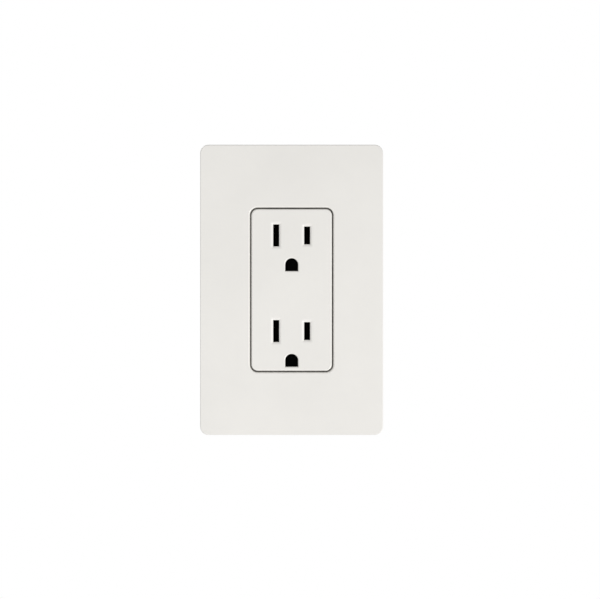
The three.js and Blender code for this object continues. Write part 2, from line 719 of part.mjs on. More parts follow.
const groundRest = [TAB_OUTER - 0.2, GROUND_TERMINAL.y, GROUND_TERMINAL.z];
const groundSeat = [TAB_OUTER - 0.2 - clampTop, GROUND_TERMINAL.y, GROUND_TERMINAL.z];
const groundClampShape = geometryOf(wireClamp(2.6));
add("ground_wire_clamp", groundClampShape, MATERIALS.clampSteel, groundRest, toSide(-1));
add("ground_screw", geometryOf(groundScrew()), MATERIALS.greenScrew, groundSeat, toSide(-1));

const mountingScrewShape = geometryOf(mountingScrew());
const retainerShape = geometryOf(screwRetainer());
const adapterScrewShape = geometryOf(adapterScrew());
const housingScrewShape = geometryOf(housingScrew());
for (const [name, end] of Object.entries(ENDS)) {
  const boxScrew = [0, -STRAP.thick - 0.05, end * BOX_SCREW_Z];
  const plateScrew = [0, ADAPTER.front, end * PLATE_SCREW_Z];
  const retainer = [0, 0, end * BOX_SCREW_Z];
  add(`mounting_screw_${name}`, mountingScrewShape, MATERIALS.zincSteel, boxScrew, TO_ROOM);
  add(`screw_retainer_${name}`, retainerShape, MATERIALS.fibre, retainer);
  add(`adapter_screw_${name}`, adapterScrewShape, MATERIALS.whiteScrew, plateScrew, TO_ROOM);
  for (const [hand, side] of Object.entries({ left: -1, right: 1 })) {
    const place = [side * HOUSING_SCREW.x, HOUSING.back - 2.55, end * HOUSING_SCREW.z];
    add(`housing_screw_${name}_${hand}`, housingScrewShape, MATERIALS.zincSteel, place, TO_BACK);
  }
}

export default outlet;
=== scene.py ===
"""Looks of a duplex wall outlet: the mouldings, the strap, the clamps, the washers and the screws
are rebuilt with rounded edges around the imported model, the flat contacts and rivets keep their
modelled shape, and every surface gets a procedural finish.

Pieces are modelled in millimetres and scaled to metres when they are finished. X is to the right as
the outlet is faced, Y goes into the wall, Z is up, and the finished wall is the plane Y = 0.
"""

import json
import math
from typing import NamedTuple

import bmesh
import bpy
from bpy.props import FloatProperty, FloatVectorProperty, PointerProperty
from mathutils import Matrix, Vector


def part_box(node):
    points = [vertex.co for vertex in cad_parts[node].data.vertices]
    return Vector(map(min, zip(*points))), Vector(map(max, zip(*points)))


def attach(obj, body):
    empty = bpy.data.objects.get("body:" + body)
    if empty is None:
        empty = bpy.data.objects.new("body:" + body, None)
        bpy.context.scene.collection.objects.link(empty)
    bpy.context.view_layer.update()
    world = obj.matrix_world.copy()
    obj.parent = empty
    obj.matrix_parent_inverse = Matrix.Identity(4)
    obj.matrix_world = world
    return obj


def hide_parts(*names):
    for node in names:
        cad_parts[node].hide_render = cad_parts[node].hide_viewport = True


bl_info = {
    "name": "Duplex Wall Outlet",
    "version": (1, 0, 0),
    "blender": (4, 5, 0),
    "location": "3D View > Sidebar > Outlet",
    "description": "Builds the finished surfaces of a duplex wall outlet around its packed model",
    "category": "Add Mesh",
}

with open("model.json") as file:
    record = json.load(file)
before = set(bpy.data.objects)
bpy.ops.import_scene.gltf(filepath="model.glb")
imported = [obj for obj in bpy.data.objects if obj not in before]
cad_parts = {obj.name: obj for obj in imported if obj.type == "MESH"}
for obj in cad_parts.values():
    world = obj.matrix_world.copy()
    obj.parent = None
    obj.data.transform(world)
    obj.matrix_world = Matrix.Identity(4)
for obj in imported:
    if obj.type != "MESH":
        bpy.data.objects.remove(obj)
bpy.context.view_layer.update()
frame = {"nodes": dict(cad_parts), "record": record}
BODY_OF = {
    node: body for body, nodes in frame["record"]["behaviour"]["bodies"].items() for node in nodes
}

MM = 0.001
BOTH = (-1, 1)
ENDS = {"top": 1, "bottom": -1}
LEVELS = {"upper": 1, "lower": -1}
POLES = {"hot": 1, "neutral": -1}
RIVETS = ("ground_rivet_upper", "ground_rivet_lower")


# ---------------------------------------------------------------- places and sizes, in mm


def box_of(node):
    """The lowest and highest corners of a node, in millimetres."""
    low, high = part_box(node)
    return low / MM, high / MM


def middle_of(node):
    low, high = box_of(node)
    return (low + high) / 2


PLATE_LOW, PLATE_HIGH = box_of("wall_plate")
PLATE_WIDTH, PLATE_HEIGHT = PLATE_HIGH.x - PLATE_LOW.x, PLATE_HIGH.z - PLATE_LOW.z
PLATE_FRONT = PLATE_LOW.y
PLATE_CORNER = 3.4
PLATE_SKIN = 2.0
PLATE_WALL = 1.8
WINDOW_WIDTH, WINDOW_HEIGHT, WINDOW_CORNER = 34.2, 67.5, 3.1
WINDOW_LIP, WINDOW_LIP_BACK = 1.2, -3.6

COVER_LOW, COVER_HIGH = box_of("front_cover")
COVER_FRONT = COVER_LOW.y
FACE_WIDTH, FACE_HEIGHT, FACE_CORNER = 33.0, 66.3, 2.6
FACE_SKIN, FACE_WALL = 2.4, 1.8
FLANGE_FRONT, FLANGE_BACK = -3.0, -1.5

BLADE_X = 6.35
BLADE_Z = (22.35, -16.9)
PIN_DROP = 12.0
SLOT_WIDTH = 2.45
SLOT_HEIGHTS = {1: 7.35, -1: 9.05}
PIN_RADIUS = 2.65
GUIDE_WALL = 1.1

BODY_LOW, BODY_HIGH = box_of("rear_body")
BODY_WIDTH, BODY_HEIGHT = BODY_HIGH.x - BODY_LOW.x, BODY_HIGH.z - BODY_LOW.z
BODY_FRONT, BODY_BACK = BODY_LOW.y, BODY_HIGH.y
BODY_CORNER = 3.0

STRAP_THICK = 1.3
STRAP_HALF = 53.0
SEAT_GAP = 0.2
CLAMP_THICK = 1.2
CLAMP_STACK = SEAT_GAP + CLAMP_THICK + 0.1
BOX_SCREW_Z = middle_of("mounting_screw_top").z
PLATE_SCREW_Z = middle_of("adapter_screw_top").z
HOUSING_X, _, HOUSING_Z = middle_of("housing_screw_top_right")
_, TERMINAL_Y, TERMINAL_Z = middle_of("hot_terminal_screw_upper")
_, GROUND_Y, GROUND_Z = middle_of("ground_wire_clamp")
BUS_OUTER = box_of("hot_bus_strip")[1].x
TAB_OUTER = -14.6
TAB_HALF = 3.7
WIRE_OFFSET = 3.3

ADAPTER_LOW, ADAPTER_HIGH = box_of("plate_adapter")
ADAPTER_FRONT = ADAPTER_LOW.y
ADAPTER_THICK = 1.5


# ---------------------------------------------------------------- settings


class OutletSizes(bpy.types.PropertyGroup):
    """Radii and fine sizes that a user would change."""

    plate_edge: FloatProperty(
        name="Plate edge", description="Radius of the plate's front outer edge",
        default=0.35 * MM, min=0.2 * MM, max=2 * MM, unit="LENGTH",
    )
    window_edge: FloatProperty(
        name="Window edge", description="Radius of the edge round the plate's window",
        default=0.7 * MM, min=0.05 * MM, max=1 * MM, unit="LENGTH",
    )
    face_edge: FloatProperty(
        name="Face edge", description="Radius of the edge round the receptacle's face",
        default=0.55 * MM, min=0.05 * MM, max=1 * MM, unit="LENGTH",
    )
    slot_bevel: FloatProperty(
        name="Slot bevel", description="Width of the lead-in round each blade slot",
        default=1.4 * MM, min=0.1 * MM, max=2 * MM, unit="LENGTH",
    )
    pin_bevel: FloatProperty(
        name="Pin hole bevel", description="Width of the lead-in round each ground hole",
        default=0.6 * MM, min=0.1 * MM, max=1 * MM, unit="LENGTH",
    )
    moulded_edge: FloatProperty(
        name="Moulded edge", description="Radius of the edges of hidden mouldings",
        default=0.2 * MM, min=0.02 * MM, max=0.4 * MM, unit="LENGTH",
    )
    stamped_edge: FloatProperty(
        name="Stamped edge", description="Radius of the edges of stamped metal",
        default=0.12 * MM, min=0.02 * MM, max=0.3 * MM, unit="LENGTH",
    )
    thread_pitch: FloatProperty(
        name="Thread pitch", description="Travel of a screw in one turn",
        default=0.79375 * MM, min=0.3 * MM, max=2 * MM, unit="LENGTH",
    )


def colour_property(name, description, red, green, blue):
    return FloatVectorProperty(
        name=name, description=description, default=(red, green, blue),
        size=3, min=0, max=1, subtype="COLOR",
    )


class OutletColours(bpy.types.PropertyGroup):
    """Base colours of the outlet's finishes."""

    white_plastic: colour_property("White plastic", "Plate and receptacle face", 0.82, 0.803, 0.768)
    adapter_plastic: colour_property("Adapter plastic", "Frame behind the plate", 0.74, 0.73, 0.69)
    black_plastic: colour_property("Black plastic", "Rear body", 0.016, 0.016, 0.017)
    zinc: colour_property("Zinc", "Plated strap and screws", 0.56, 0.57, 0.58)
    brass: colour_property("Brass", "Contacts and hot terminal screws", 0.76, 0.53, 0.22)
    nickel: colour_property("Nickel", "Neutral terminal screws and rivets", 0.66, 0.64, 0.6)
    green: colour_property("Green", "Ground screw", 0.02, 0.22, 0.07)
    white_paint: colour_property("White paint", "Adapter screws", 0.78, 0.76, 0.72)
    fibre: colour_property("Fibre", "Screw retainers", 0.19, 0.1, 0.055)


def sizes():
    return bpy.context.scene.outlet_sizes


def colours():
    return bpy.context.scene.outlet_colours


# ---------------------------------------------------------------- modelling


class Rectangle(NamedTuple):
    """A rounded rectangle that faces the room, centred on (x, z) at depth y."""

    width: float
    height: float
    corner: float
    y: float
    x: float = 0
    z: float = 0
    steps: int = 8

    def edges(self, bm):
        size = self.width, self.height
        return outline_edges(bm, size, self.corner, (self.x, self.y, self.z), self.steps)

    def carried(self, point, to):
        """Where a point of this outline lies on another one."""
        offsets = point.x - self.x, point.z - self.z
        halves = (self.width, to.width), (self.height, to.height)
        moved = []
        for offset, (size, new_size) in zip(offsets, halves):
            side = math.copysign(1, offset)
            along = (abs(offset) - size / 2 + self.corner) / self.corner
            moved.append(side * (new_size / 2 - to.corner + along * to.corner))
        return to.x + moved[0], to.y, to.z + moved[1]


class Arch(NamedTuple):
    """A half circle over a flat sill, with its centre at (x, z) and at depth y."""

    radius: float
    y: float
    x: float = 0
    z: float = 0
    steps: int = 14

    def edges(self, bm):
        size = 2 * self.radius, 2 * self.radius
        place = self.x, self.y, self.z
        return outline_edges(bm, size, self.radius * 0.995, place, self.steps, above=self.z)

    def carried(self, point, to):
        """Where a point of this outline lies on another one."""
        grow = to.radius / self.radius
        return to.x + (point.x - self.x) * grow, to.y, to.z + (point.z - self.z) * grow


def outline_edges(bm, size, corner, centre, steps, above=-math.inf):
    """Edges of an upright rectangle whose corners higher than above are rounded."""
    place = (
        Matrix.Translation(centre)
        @ Matrix.Rotation(math.pi / 2, 4, "X")
        @ Matrix.Diagonal((*size, 1, 1))
    )
    known = set(bm.faces)
    verts = bmesh.ops.create_grid(bm, x_segments=1, y_segments=1, size=0.5, matrix=place)["verts"]
    bmesh.ops.bevel(
        bm, geom=[v for v in verts if v.co.z > above], offset=corner, offset_type="OFFSET",
        segments=steps, profile=0.5, affect="VERTICES", clamp_overlap=False, material=-1,
    )
    face = next(f for f in bm.faces if f not in known)
    edges = list(face.edges)
    bmesh.ops.delete(bm, geom=[face], context="FACES_ONLY")
    return edges


def loft(bm, outlines, closed=False):
    """Skins a row of outlines, and joins the last to the first or else caps both ends."""
    edges = outlines[0].edges(bm)
    if not closed:
        bmesh.ops.contextual_create(bm, geom=edges)
    row = [*outlines, outlines[0]] if closed else outlines
    for outline, following in zip(row, row[1:]):
        made = bmesh.ops.extrude_edge_only(bm, edges=edges)["geom"]
        edges = [e for e in made if isinstance(e, bmesh.types.BMEdge) and e.is_boundary]
        for vert in {v for e in edges for v in e.verts}:
            vert.co = outline.carried(vert.co, following)
    if not closed:
        bmesh.ops.contextual_create(bm, geom=edges)


def slab(bm, width, height, corner, y, x=0, z=0, steps=6):
    """A rounded slab between two depths."""
    loft(bm, [Rectangle(width, height, corner, depth, x, z, steps) for depth in y])


def block(bm, x, y, z):
    """A box between two limits on each axis."""
    spans = [(min(pair), max(pair)) for pair in (x, y, z)]
    centre = Vector([(low + high) / 2 for low, high in spans])
    size = [high - low for low, high in spans]
    place = Matrix.Translation(centre) @ Matrix.Diagonal((*size, 1))
    bmesh.ops.create_cube(bm, size=1, matrix=place)


def rod(bm, radius, span, centre=(0, 0), axis="Y", segments=32, end_radius=None):
    """A rod, or a cone if end_radius is given, along X or Y between two limits."""
    low, high = span
    along = (low + high) / 2
    if axis == "Y":
        turn, place = Matrix.Rotation(-math.pi / 2, 4, "X"), (centre[0], along, centre[1])
    else:
        turn, place = Matrix.Rotation(math.pi / 2, 4, "Y"), (along, centre[0], centre[1])
    bmesh.ops.create_cone(
        bm, cap_ends=True, segments=segments, radius1=radius,
        radius2=radius if end_radius is None else end_radius,
        depth=high - low, matrix=Matrix.Translation(place) @ turn,
    )


def around(middle, half):
    return middle - half, middle + half


def sided(side, near, far):
    return side * near, side * far


def quarter(steps=6):
    """(inset, rise) pairs round a quarter circle of radius 1, from a wall over to a face."""
    angles = [math.pi / 2 * i / steps for i in range(steps + 1)]
    return [(1 - math.cos(a), math.sin(a)) for a in angles]


def arc_points(centre, radius, start, end, steps=6):
    """Profile points on an arc, with its angles in degrees."""
    angles = [math.radians(start + (end - start) * i / steps) for i in range(steps + 1)]
    return [(centre[0] + radius * math.cos(a), centre[1] + radius * math.sin(a)) for a in angles]


def lathe(profile, segments=48):
    """A solid turned about Y from points of (radius, distance along Y)."""
    bm = bmesh.new()
    verts = [bm.verts.new((radius, along, 0)) for radius, along in profile]
    edges = [bm.edges.new(pair) for pair in zip(verts, verts[1:])]
    bmesh.ops.spin(
        bm, geom=verts + edges, cent=(0, 0, 0), axis=(0, 1, 0), dvec=(0, 0, 0),
        angle=2 * math.pi, steps=segments, use_merge=True,
    )
    bmesh.ops.remove_doubles(bm, verts=bm.verts, dist=1e-4)
    bmesh.ops.recalc_face_normals(bm, faces=bm.faces)
    return bm


def cut_thread(bm, radius, depth, span, pitch):
    """Presses a right-hand thread into the straight part of a turned shank."""
    low, high = span
    for vert in bm.verts:
        distance = math.hypot(vert.co.x, vert.co.z)
        if abs(distance - radius) > 1e-3 or not low <= vert.co.y <= high:
            continue
        phase = (vert.co.y / pitch - math.atan2(vert.co.x, vert.co.z) / (2 * math.pi)) % 1
        valley = abs(2 * phase - 1)
        runout = min(1, (vert.co.y - low) / pitch, (high - vert.co.y) / pitch)
        factor = 1 - depth * valley * max(runout, 0) / radius
        vert.co.x *= factor
        vert.co.z *= factor


def object_from(bm, name):
    """Closes the mesh's seams, turns its faces outwards and makes it an object."""
    bmesh.ops.remove_doubles(bm, verts=bm.verts, dist=1e-4)
    bmesh.ops.recalc_face_normals(bm, faces=bm.faces)
    mesh = bpy.data.meshes.new(name)
    bm.to_mesh(mesh)
    bm.free()
    obj = bpy.data.objects.new(name, mesh)
    bpy.context.scene.collection.objects.link(obj)
    return obj


def apply_modifiers(obj):
    """Turns an object's modifiers into its mesh."""
    bpy.context.view_layer.update()
    evaluated = obj.evaluated_get(bpy.context.evaluated_depsgraph_get())
    mesh = bpy.data.meshes.new_from_object(evaluated)
    old = obj.data
    obj.modifiers.clear()
    obj.data = mesh
    mesh.name = obj.name
    bpy.data.meshes.remove(old)


def put_in_order(obj):
    """Lists corners and faces by their places, as cutting returns them in no fixed order."""
    old = obj.data
    order = sorted(range(len(old.vertices)), key=lambda i: tuple(old.vertices[i].co))
    rank = {old_index: index for index, old_index in enumerate(order)}
    faces = []
    for polygon in old.polygons:
        corners = [rank[index] for index in polygon.vertices]
        first = corners.index(min(corners))
        faces.append(corners[first:] + corners[:first])
    mesh = bpy.data.meshes.new("ordered")
    mesh.from_pydata([old.vertices[i].co[:] for i in order], [], sorted(faces))
    obj.data = mesh
    bpy.data.meshes.remove(old)
    mesh.name = obj.name


def combine(obj, tools, operation="DIFFERENCE"):
    """Cuts a bmesh of closed tools out of an object, or joins it on, or keeps what they share."""
    tool = object_from(tools, obj.name + "_tool")
    modifier = obj.modifiers.new("combine", "BOOLEAN")
    modifier.operation = operation
    modifier.solver = "EXACT"
    modifier.use_self = True
    modifier.object = tool
    apply_modifiers(obj)
    put_in_order(obj)
    mesh = tool.data
    bpy.data.objects.remove(tool)
    bpy.data.meshes.remove(mesh)


def merge_flat_faces(obj):
    """Dissolves the seams and slivers that cutting leaves inside flat faces."""
    bm = bmesh.new()
    bm.from_mesh(obj.data)
    bmesh.ops.remove_doubles(bm, verts=bm.verts, dist=1e-3)
    bmesh.ops.dissolve_limit(
        bm, angle_limit=math.radians(0.5), use_dissolve_boundaries=False,
        verts=bm.verts, edges=bm.edges,
    )
    bmesh.ops.dissolve_degenerate(bm, dist=1e-3, edges=bm.edges)
    bm.to_mesh(obj.data)
    bm.free()


def clean_up_bevel(obj):
    """Deletes edges that a bevel leaves without a face, and splits concave faces so none folds."""
    bm = bmesh.new()
    bm.from_mesh(obj.data)
    loose = [edge for edge in bm.edges if not edge.link_faces]
    bmesh.ops.delete(bm, geom=loose, context="EDGES")
    many_sided = [face for face in bm.faces if len(face.verts) > 4]
    bmesh.ops.connect_verts_concave(bm, faces=many_sided)
    bm.to_mesh(obj.data)
    bm.free()


def soften(obj, radius, segments=2, angle=35):
    """Rounds every edge sharper than angle, in degrees."""
    merge_flat_faces(obj)
    modifier = obj.modifiers.new("soften", "BEVEL")
    modifier.width = radius
    modifier.segments = segments
    modifier.limit_method = "ANGLE"
    modifier.angle_limit = math.radians(angle)
    modifier.use_clamp_overlap = False
    modifier.miter_outer = "MITER_ARC"
    apply_modifiers(obj)
    clean_up_bevel(obj)


def finish_piece(obj, node, material, place=None, sharp=40):
    """Sets a piece in its place in metres, smooths it, and lets it stand for its node."""
    scale = Matrix.Scale(MM, 4)
    obj.data.transform(scale @ place if place else scale)
    obj.data.materials.clear()
    obj.data.materials.append(material)
    obj.data.shade_smooth()
    obj.data.set_sharp_from_angle(angle=math.radians(sharp))
    weighted = obj.modifiers.new("flat faces stay flat", "WEIGHTED_NORMAL")
    weighted.keep_sharp = True
    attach(obj, BODY_OF[node])
    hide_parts(node)


# ---------------------------------------------------------------- shader helpers


def put(tree, socket, value):
    """Links a socket to another one, or sets its value."""
    if isinstance(value, bpy.types.NodeSocket):
        tree.links.new(value, socket)
    elif socket.type == "RGBA":
        socket.default_value = (*value[:3], 1)
    else:
        socket.default_value = value


def shader_node(tree, kind, inputs=None, **settings):
    """A node with its settings and its inputs, which are values or other nodes' sockets."""
    node = tree.nodes.new(kind)
    for name, value in settings.items():
        setattr(node, name, value)
    for name, value in (inputs or {}).items():
        put(tree, node.inputs[name], value)
    return node


def noise(tree, vector, scale, detail=3.0, roughness=0.5):
    inputs = {"Vector": vector, "Scale": scale, "Detail": detail, "Roughness": roughness}
    return shader_node(tree, "ShaderNodeTexNoise", inputs).outputs["Fac"]


def ramp(tree, value, low, high, to_low=0.0, to_high=1.0):
    """Maps a value from one range to another, clamped."""
    inputs = {
        "Value": value, "From Min": low, "From Max": high, "To Min": to_low, "To Max": to_high,
    }
    return shader_node(tree, "ShaderNodeMapRange", inputs).outputs["Result"]


def maths(tree, operation, first, second):
    node = shader_node(tree, "ShaderNodeMath", {0: first, 1: second}, operation=operation)
    return node.outputs["Value"]


def vector_maths(tree, operation, first, second, output):
    inputs = {0: first, 1: second}
    return shader_node(tree, "ShaderNodeVectorMath", inputs, operation=operation).outputs[output]


def blend_colours(tree, factor, first, second):
    node = shader_node(tree, "ShaderNodeMix", data_type="RGBA")
    put(tree, node.inputs["Factor"], factor)
    put(tree, node.inputs[6], first)
    put(tree, node.inputs[7], second)
    return node.outputs[2]


def position(tree):
    return shader_node(tree, "ShaderNodeTexCoord").outputs["Object"]


def new_group(name, inputs, outputs):
    """An empty node group with its sockets, and its input and output nodes."""
    group = bpy.data.node_groups.new(name, "ShaderNodeTree")
    for socket, kind, default in inputs:
        made = group.interface.new_socket(name=socket, in_out="INPUT", socket_type=kind)
        made.default_value = default
    for socket, kind in outputs:
        group.interface.new_socket(name=socket, in_out="OUTPUT", socket_type=kind)
    given = group.nodes.new("NodeGroupInput").outputs
    return group, given, group.nodes.new("NodeGroupOutput").inputs


def group_named(name, build):
    """The node group of that name, built the first time it is asked for."""
    return bpy.data.node_groups.get(name) or build(name)


FLOAT, VECTOR = "NodeSocketFloat", "NodeSocketVector"


def mottle_group(name):
    """Soft clouds and fine specks, for colour that varies a little from place to place."""
    inputs = [("Clouds per metre", FLOAT, 40.0), ("Specks per metre", FLOAT, 1500.0)]
    group, given, result = new_group(name, inputs, [("Clouds", FLOAT), ("Specks", FLOAT)])
    here = position(group)
    clouds = noise(group, here, given["Clouds per metre"], 4.0, 0.6)
    specks = noise(group, here, given["Specks per metre"], 2.0, 0.7)
    put(group, result["Clouds"], ramp(group, clouds, 0.35, 0.65))
    put(group, result["Specks"], ramp(group, specks, 0.35, 0.75))
    return group


def wear_group(name):
    """A mask along convex edges, broken up by noise."""
    inputs = [("Radius", FLOAT, 0.0003), ("Breaks per metre", FLOAT, 600.0)]
    group, given, result = new_group(name, inputs, [("Wear", FLOAT)])
    rounded = shader_node(group, "ShaderNodeBevel", {"Radius": given["Radius"]}, samples=4)
    true_normal = shader_node(group, "ShaderNodeNewGeometry").outputs["Normal"]
    facing = vector_maths(group, "DOT_PRODUCT", rounded.outputs["Normal"], true_normal, "Value")
    edge = ramp(group, facing, 1.0, 0.85)
    breaks = ramp(group, noise(group, position(group), given["Breaks per metre"], 3.0), 0.4, 0.62)
    put(group, result["Wear"], maths(group, "MULTIPLY", edge, breaks))
    return group


def streak_group(name):
    """Lines drawn out along one axis, as rolling and brushing leave on metal."""
    inputs = [("Stretch", VECTOR, (3000.0, 3000.0, 60.0))]
    group, given, result = new_group(name, inputs, [("Streaks", FLOAT)])
    stretched = vector_maths(group, "MULTIPLY", position(group), given["Stretch"], "Vector")
    put(group, result["Streaks"], ramp(group, noise(group, stretched, 1.0, 3.0, 0.65), 0.3, 0.7))
    return group


def relief_group(name):
    """A fine bumpy normal, as moulding and plating leave."""
    inputs = [
        ("Bumps per metre", FLOAT, 2500.0), ("Strength", FLOAT, 0.1), ("Height", FLOAT, 0.00002),
    ]
    group, given, result = new_group(name, inputs, [("Normal", VECTOR)])
    height = noise(group, position(group), given["Bumps per metre"], 2.0)
    inputs = {"Height": height, "Strength": given["Strength"], "Distance": given["Height"]}
    put(group, result["Normal"], shader_node(group, "ShaderNodeBump", inputs).outputs["Normal"])
    return group


def place_group(tree, name, build, **inputs):
    """Puts a shared group in a material with its own values and gives its outputs."""
    node = tree.nodes.new("ShaderNodeGroup")
    node.node_tree = group_named(name, build)
    for socket, value in inputs.items():
        put(tree, node.inputs[socket.replace("_", " ")], value)
    return node.outputs


def new_material(name):
    """A material with an empty tree, and its Principled BSDF."""
    material = bpy.data.materials.new(name)
    material.use_nodes = True
    tree = material.node_tree
    tree.nodes.clear()
    shader = tree.nodes.new("ShaderNodeBsdfPrincipled")
    output = tree.nodes.new("ShaderNodeOutputMaterial")
    tree.links.new(shader.outputs["BSDF"], output.inputs["Surface"])
    return material, tree, shader


def mottle_in(tree, clouds, specks):
    """The shared mottle, with so many clouds and specks to the metre."""
    inputs = {"Clouds_per_metre": clouds, "Specks_per_metre": specks}
    return place_group(tree, "Mottle", mottle_group, **inputs)


def wear_in(tree, radius, breaks):
    """The shared edge mask, within radius of an edge and so many breaks to the metre: rubbed wear
    on metal, and rubbed wear with a painted edge highlight on plastic.
    """
    inputs = {"Radius": radius, "Breaks_per_metre": breaks}
    return place_group(tree, "Edge wear", wear_group, **inputs)["Wear"]


def relief_in(tree, bumps, strength, height):
    """The shared relief, with so many bumps to the metre and a height in metres."""
    inputs = {"Bumps_per_metre": bumps, "Strength": strength, "Height": height}
    return place_group(tree, "Fine relief", relief_group, **inputs)["Normal"]


def darker(colour, amount):
    return tuple(channel * (1 - amount) for channel in colour)


def shifted(colour, red, green, blue):
    return (colour[0] * red, colour[1] * green, colour[2] * blue)


def plastic(name, colour, roughness, bumps=2200.0, strength=0.08, clouded=0.03):
    """Moulded plastic: faint clouds and specks in the colour, a fine relief, and edges painted
    lighter as rubbed wear and a painted edge highlight.
    """
    material, tree, shader = new_material(name)
    mottle = mottle_in(tree, 28.0, 2600.0)
    base = blend_colours(tree, mottle["Clouds"], darker(colour, clouded), colour)
    # Rubbed wear and painted edge highlight: convex edges are painted a little lighter than the
    # rest of the moulding.
    wear = wear_in(tree, 0.00025, 500.0)
    rubbed_and_highlit = tuple(min(1, channel * 1.05 + 0.01) for channel in colour)
    put(tree, shader.inputs["Base Color"], blend_colours(tree, wear, base, rubbed_and_highlit))
    rough = ramp(tree, mottle["Specks"], 0.0, 1.0, roughness - 0.03, roughness + 0.05)
    put(tree, shader.inputs["Roughness"], rough)
    put(tree, shader.inputs["Normal"], relief_in(tree, bumps, strength, 0.00002))
    shader.inputs["IOR"].default_value = 1.5
    return material


def plated(name, colour, roughness, stretch=(900.0, 900.0, 900.0), worn=None, tarnish=0.25):
    """Plated or rolled metal: streaks, cloudy tarnish and bright rubbed edges."""
    material, tree, shader = new_material(name)
    mottle = mottle_in(tree, 160.0, 3500.0)
    streaks = place_group(tree, "Streaks", streak_group, Stretch=stretch)["Streaks"]
    dull = darker(shifted(colour, 0.98, 0.95, 0.9), tarnish)
    clouded = blend_colours(tree, mottle["Clouds"], dull, colour)
    faint = maths(tree, "MULTIPLY", streaks, 0.35)
    streaked = blend_colours(tree, faint, clouded, darker(colour, 0.3))
    wear = wear_in(tree, 0.00015, 900.0)
    bright = worn or tuple(min(1, channel * 1.25) for channel in colour)
    put(tree, shader.inputs["Base Color"], blend_colours(tree, wear, streaked, bright))
    rough = ramp(tree, streaks, 0.0, 1.0, roughness - 0.07, roughness + 0.1)
    put(tree, shader.inputs["Roughness"], rough)
    put(tree, shader.inputs["Normal"], relief_in(tree, 1800.0, 0.15, 0.00001))
    shader.inputs["Metallic"].default_value = 1.0
    return material


def contact_metal(name, colour):
    """Brass that is bright at the terminals and painted near black on the fingers that meet the
    blades, as painted shade that makes the slots look dark.
    """
    material = plated(name, colour, 0.27, (2500.0, 2500.0, 50.0))
    tree = material.node_tree
    shader = next(node for node in tree.nodes if node.type == "BSDF_PRINCIPLED")
    bright = shader.inputs["Base Color"].links[0].from_socket
    across = shader_node(tree, "ShaderNodeSeparateXYZ", {"Vector": position(tree)}).outputs["X"]
    # Painted shade: brass nearer the middle than 10.8 mm, on the contact fingers and the ground
    # contacts, is painted near black so the slots look dark.
    terminal_side = ramp(tree, maths(tree, "ABSOLUTE", across, 0.0), 10.8 * MM, 12 * MM)
    brass_with_painted_slot_shade = blend_colours(tree, terminal_side, (0.012, 0.009, 0.006), bright)
    put(tree, shader.inputs["Base Color"], brass_with_painted_slot_shade)
    return material


def fibre_board(name, colour):
    """Vulcanised fibre: matt brown board with short strands in it."""
    material, tree, shader = new_material(name)
    streaks = place_group(tree, "Streaks", streak_group, Stretch=(500.0, 3000.0, 2500.0))["Streaks"]
    mottle = mottle_in(tree, 300.0, 5000.0)
    strands = blend_colours(tree, streaks, darker(colour, 0.35), shifted(colour, 1.25, 1.25, 1.2))
    put(tree, shader.inputs["Base Color"], blend_colours(tree, mottle["Specks"], strands, colour))
    put(tree, shader.inputs["Roughness"], ramp(tree, mottle["Clouds"], 0.0, 1.0, 0.75, 0.92))
    put(tree, shader.inputs["Normal"], relief_in(tree, 4000.0, 0.4, 0.00003))
    return material


def finish(name):
    """The material of that name, made the first time it is asked for."""
    made = bpy.data.materials.get(name)
    if made:
        return made
    tint = colours()
    makers = {
        "white moulding": lambda: plastic(name, tint.white_plastic, 0.34),
        "adapter moulding": lambda: plastic(
            name, tint.adapter_plastic, 0.5, strength=0.2, clouded=0.05,
        ),
        "black moulding": lambda: plastic(name, tint.black_plastic, 0.46, 1200.0, 0.3, 0.3),
        "zinc sheet": lambda: plated(name, tint.zinc, 0.34, (2500.0, 2500.0, 45.0)),
        "zinc screw": lambda: plated(name, tint.zinc, 0.3),
        "clamp steel": lambda: plated(name, darker(tint.zinc, 0.25), 0.38),
        "contact brass": lambda: contact_metal(name, tint.brass),
        "brass screw": lambda: plated(name, tint.brass, 0.24),
        "nickel screw": lambda: plated(name, tint.nickel, 0.22),
        "green screw": lambda: plated(name, tint.green, 0.3, worn=(0.5, 0.52, 0.5)),
        "painted screw": lambda: plastic(name, tint.white_paint, 0.36, clouded=0.06),
        "fibre washer": lambda: fibre_board(name, tint.fibre),
    }
    return makers[name]()


# ---------------------------------------------------------------- wall plate and adapter


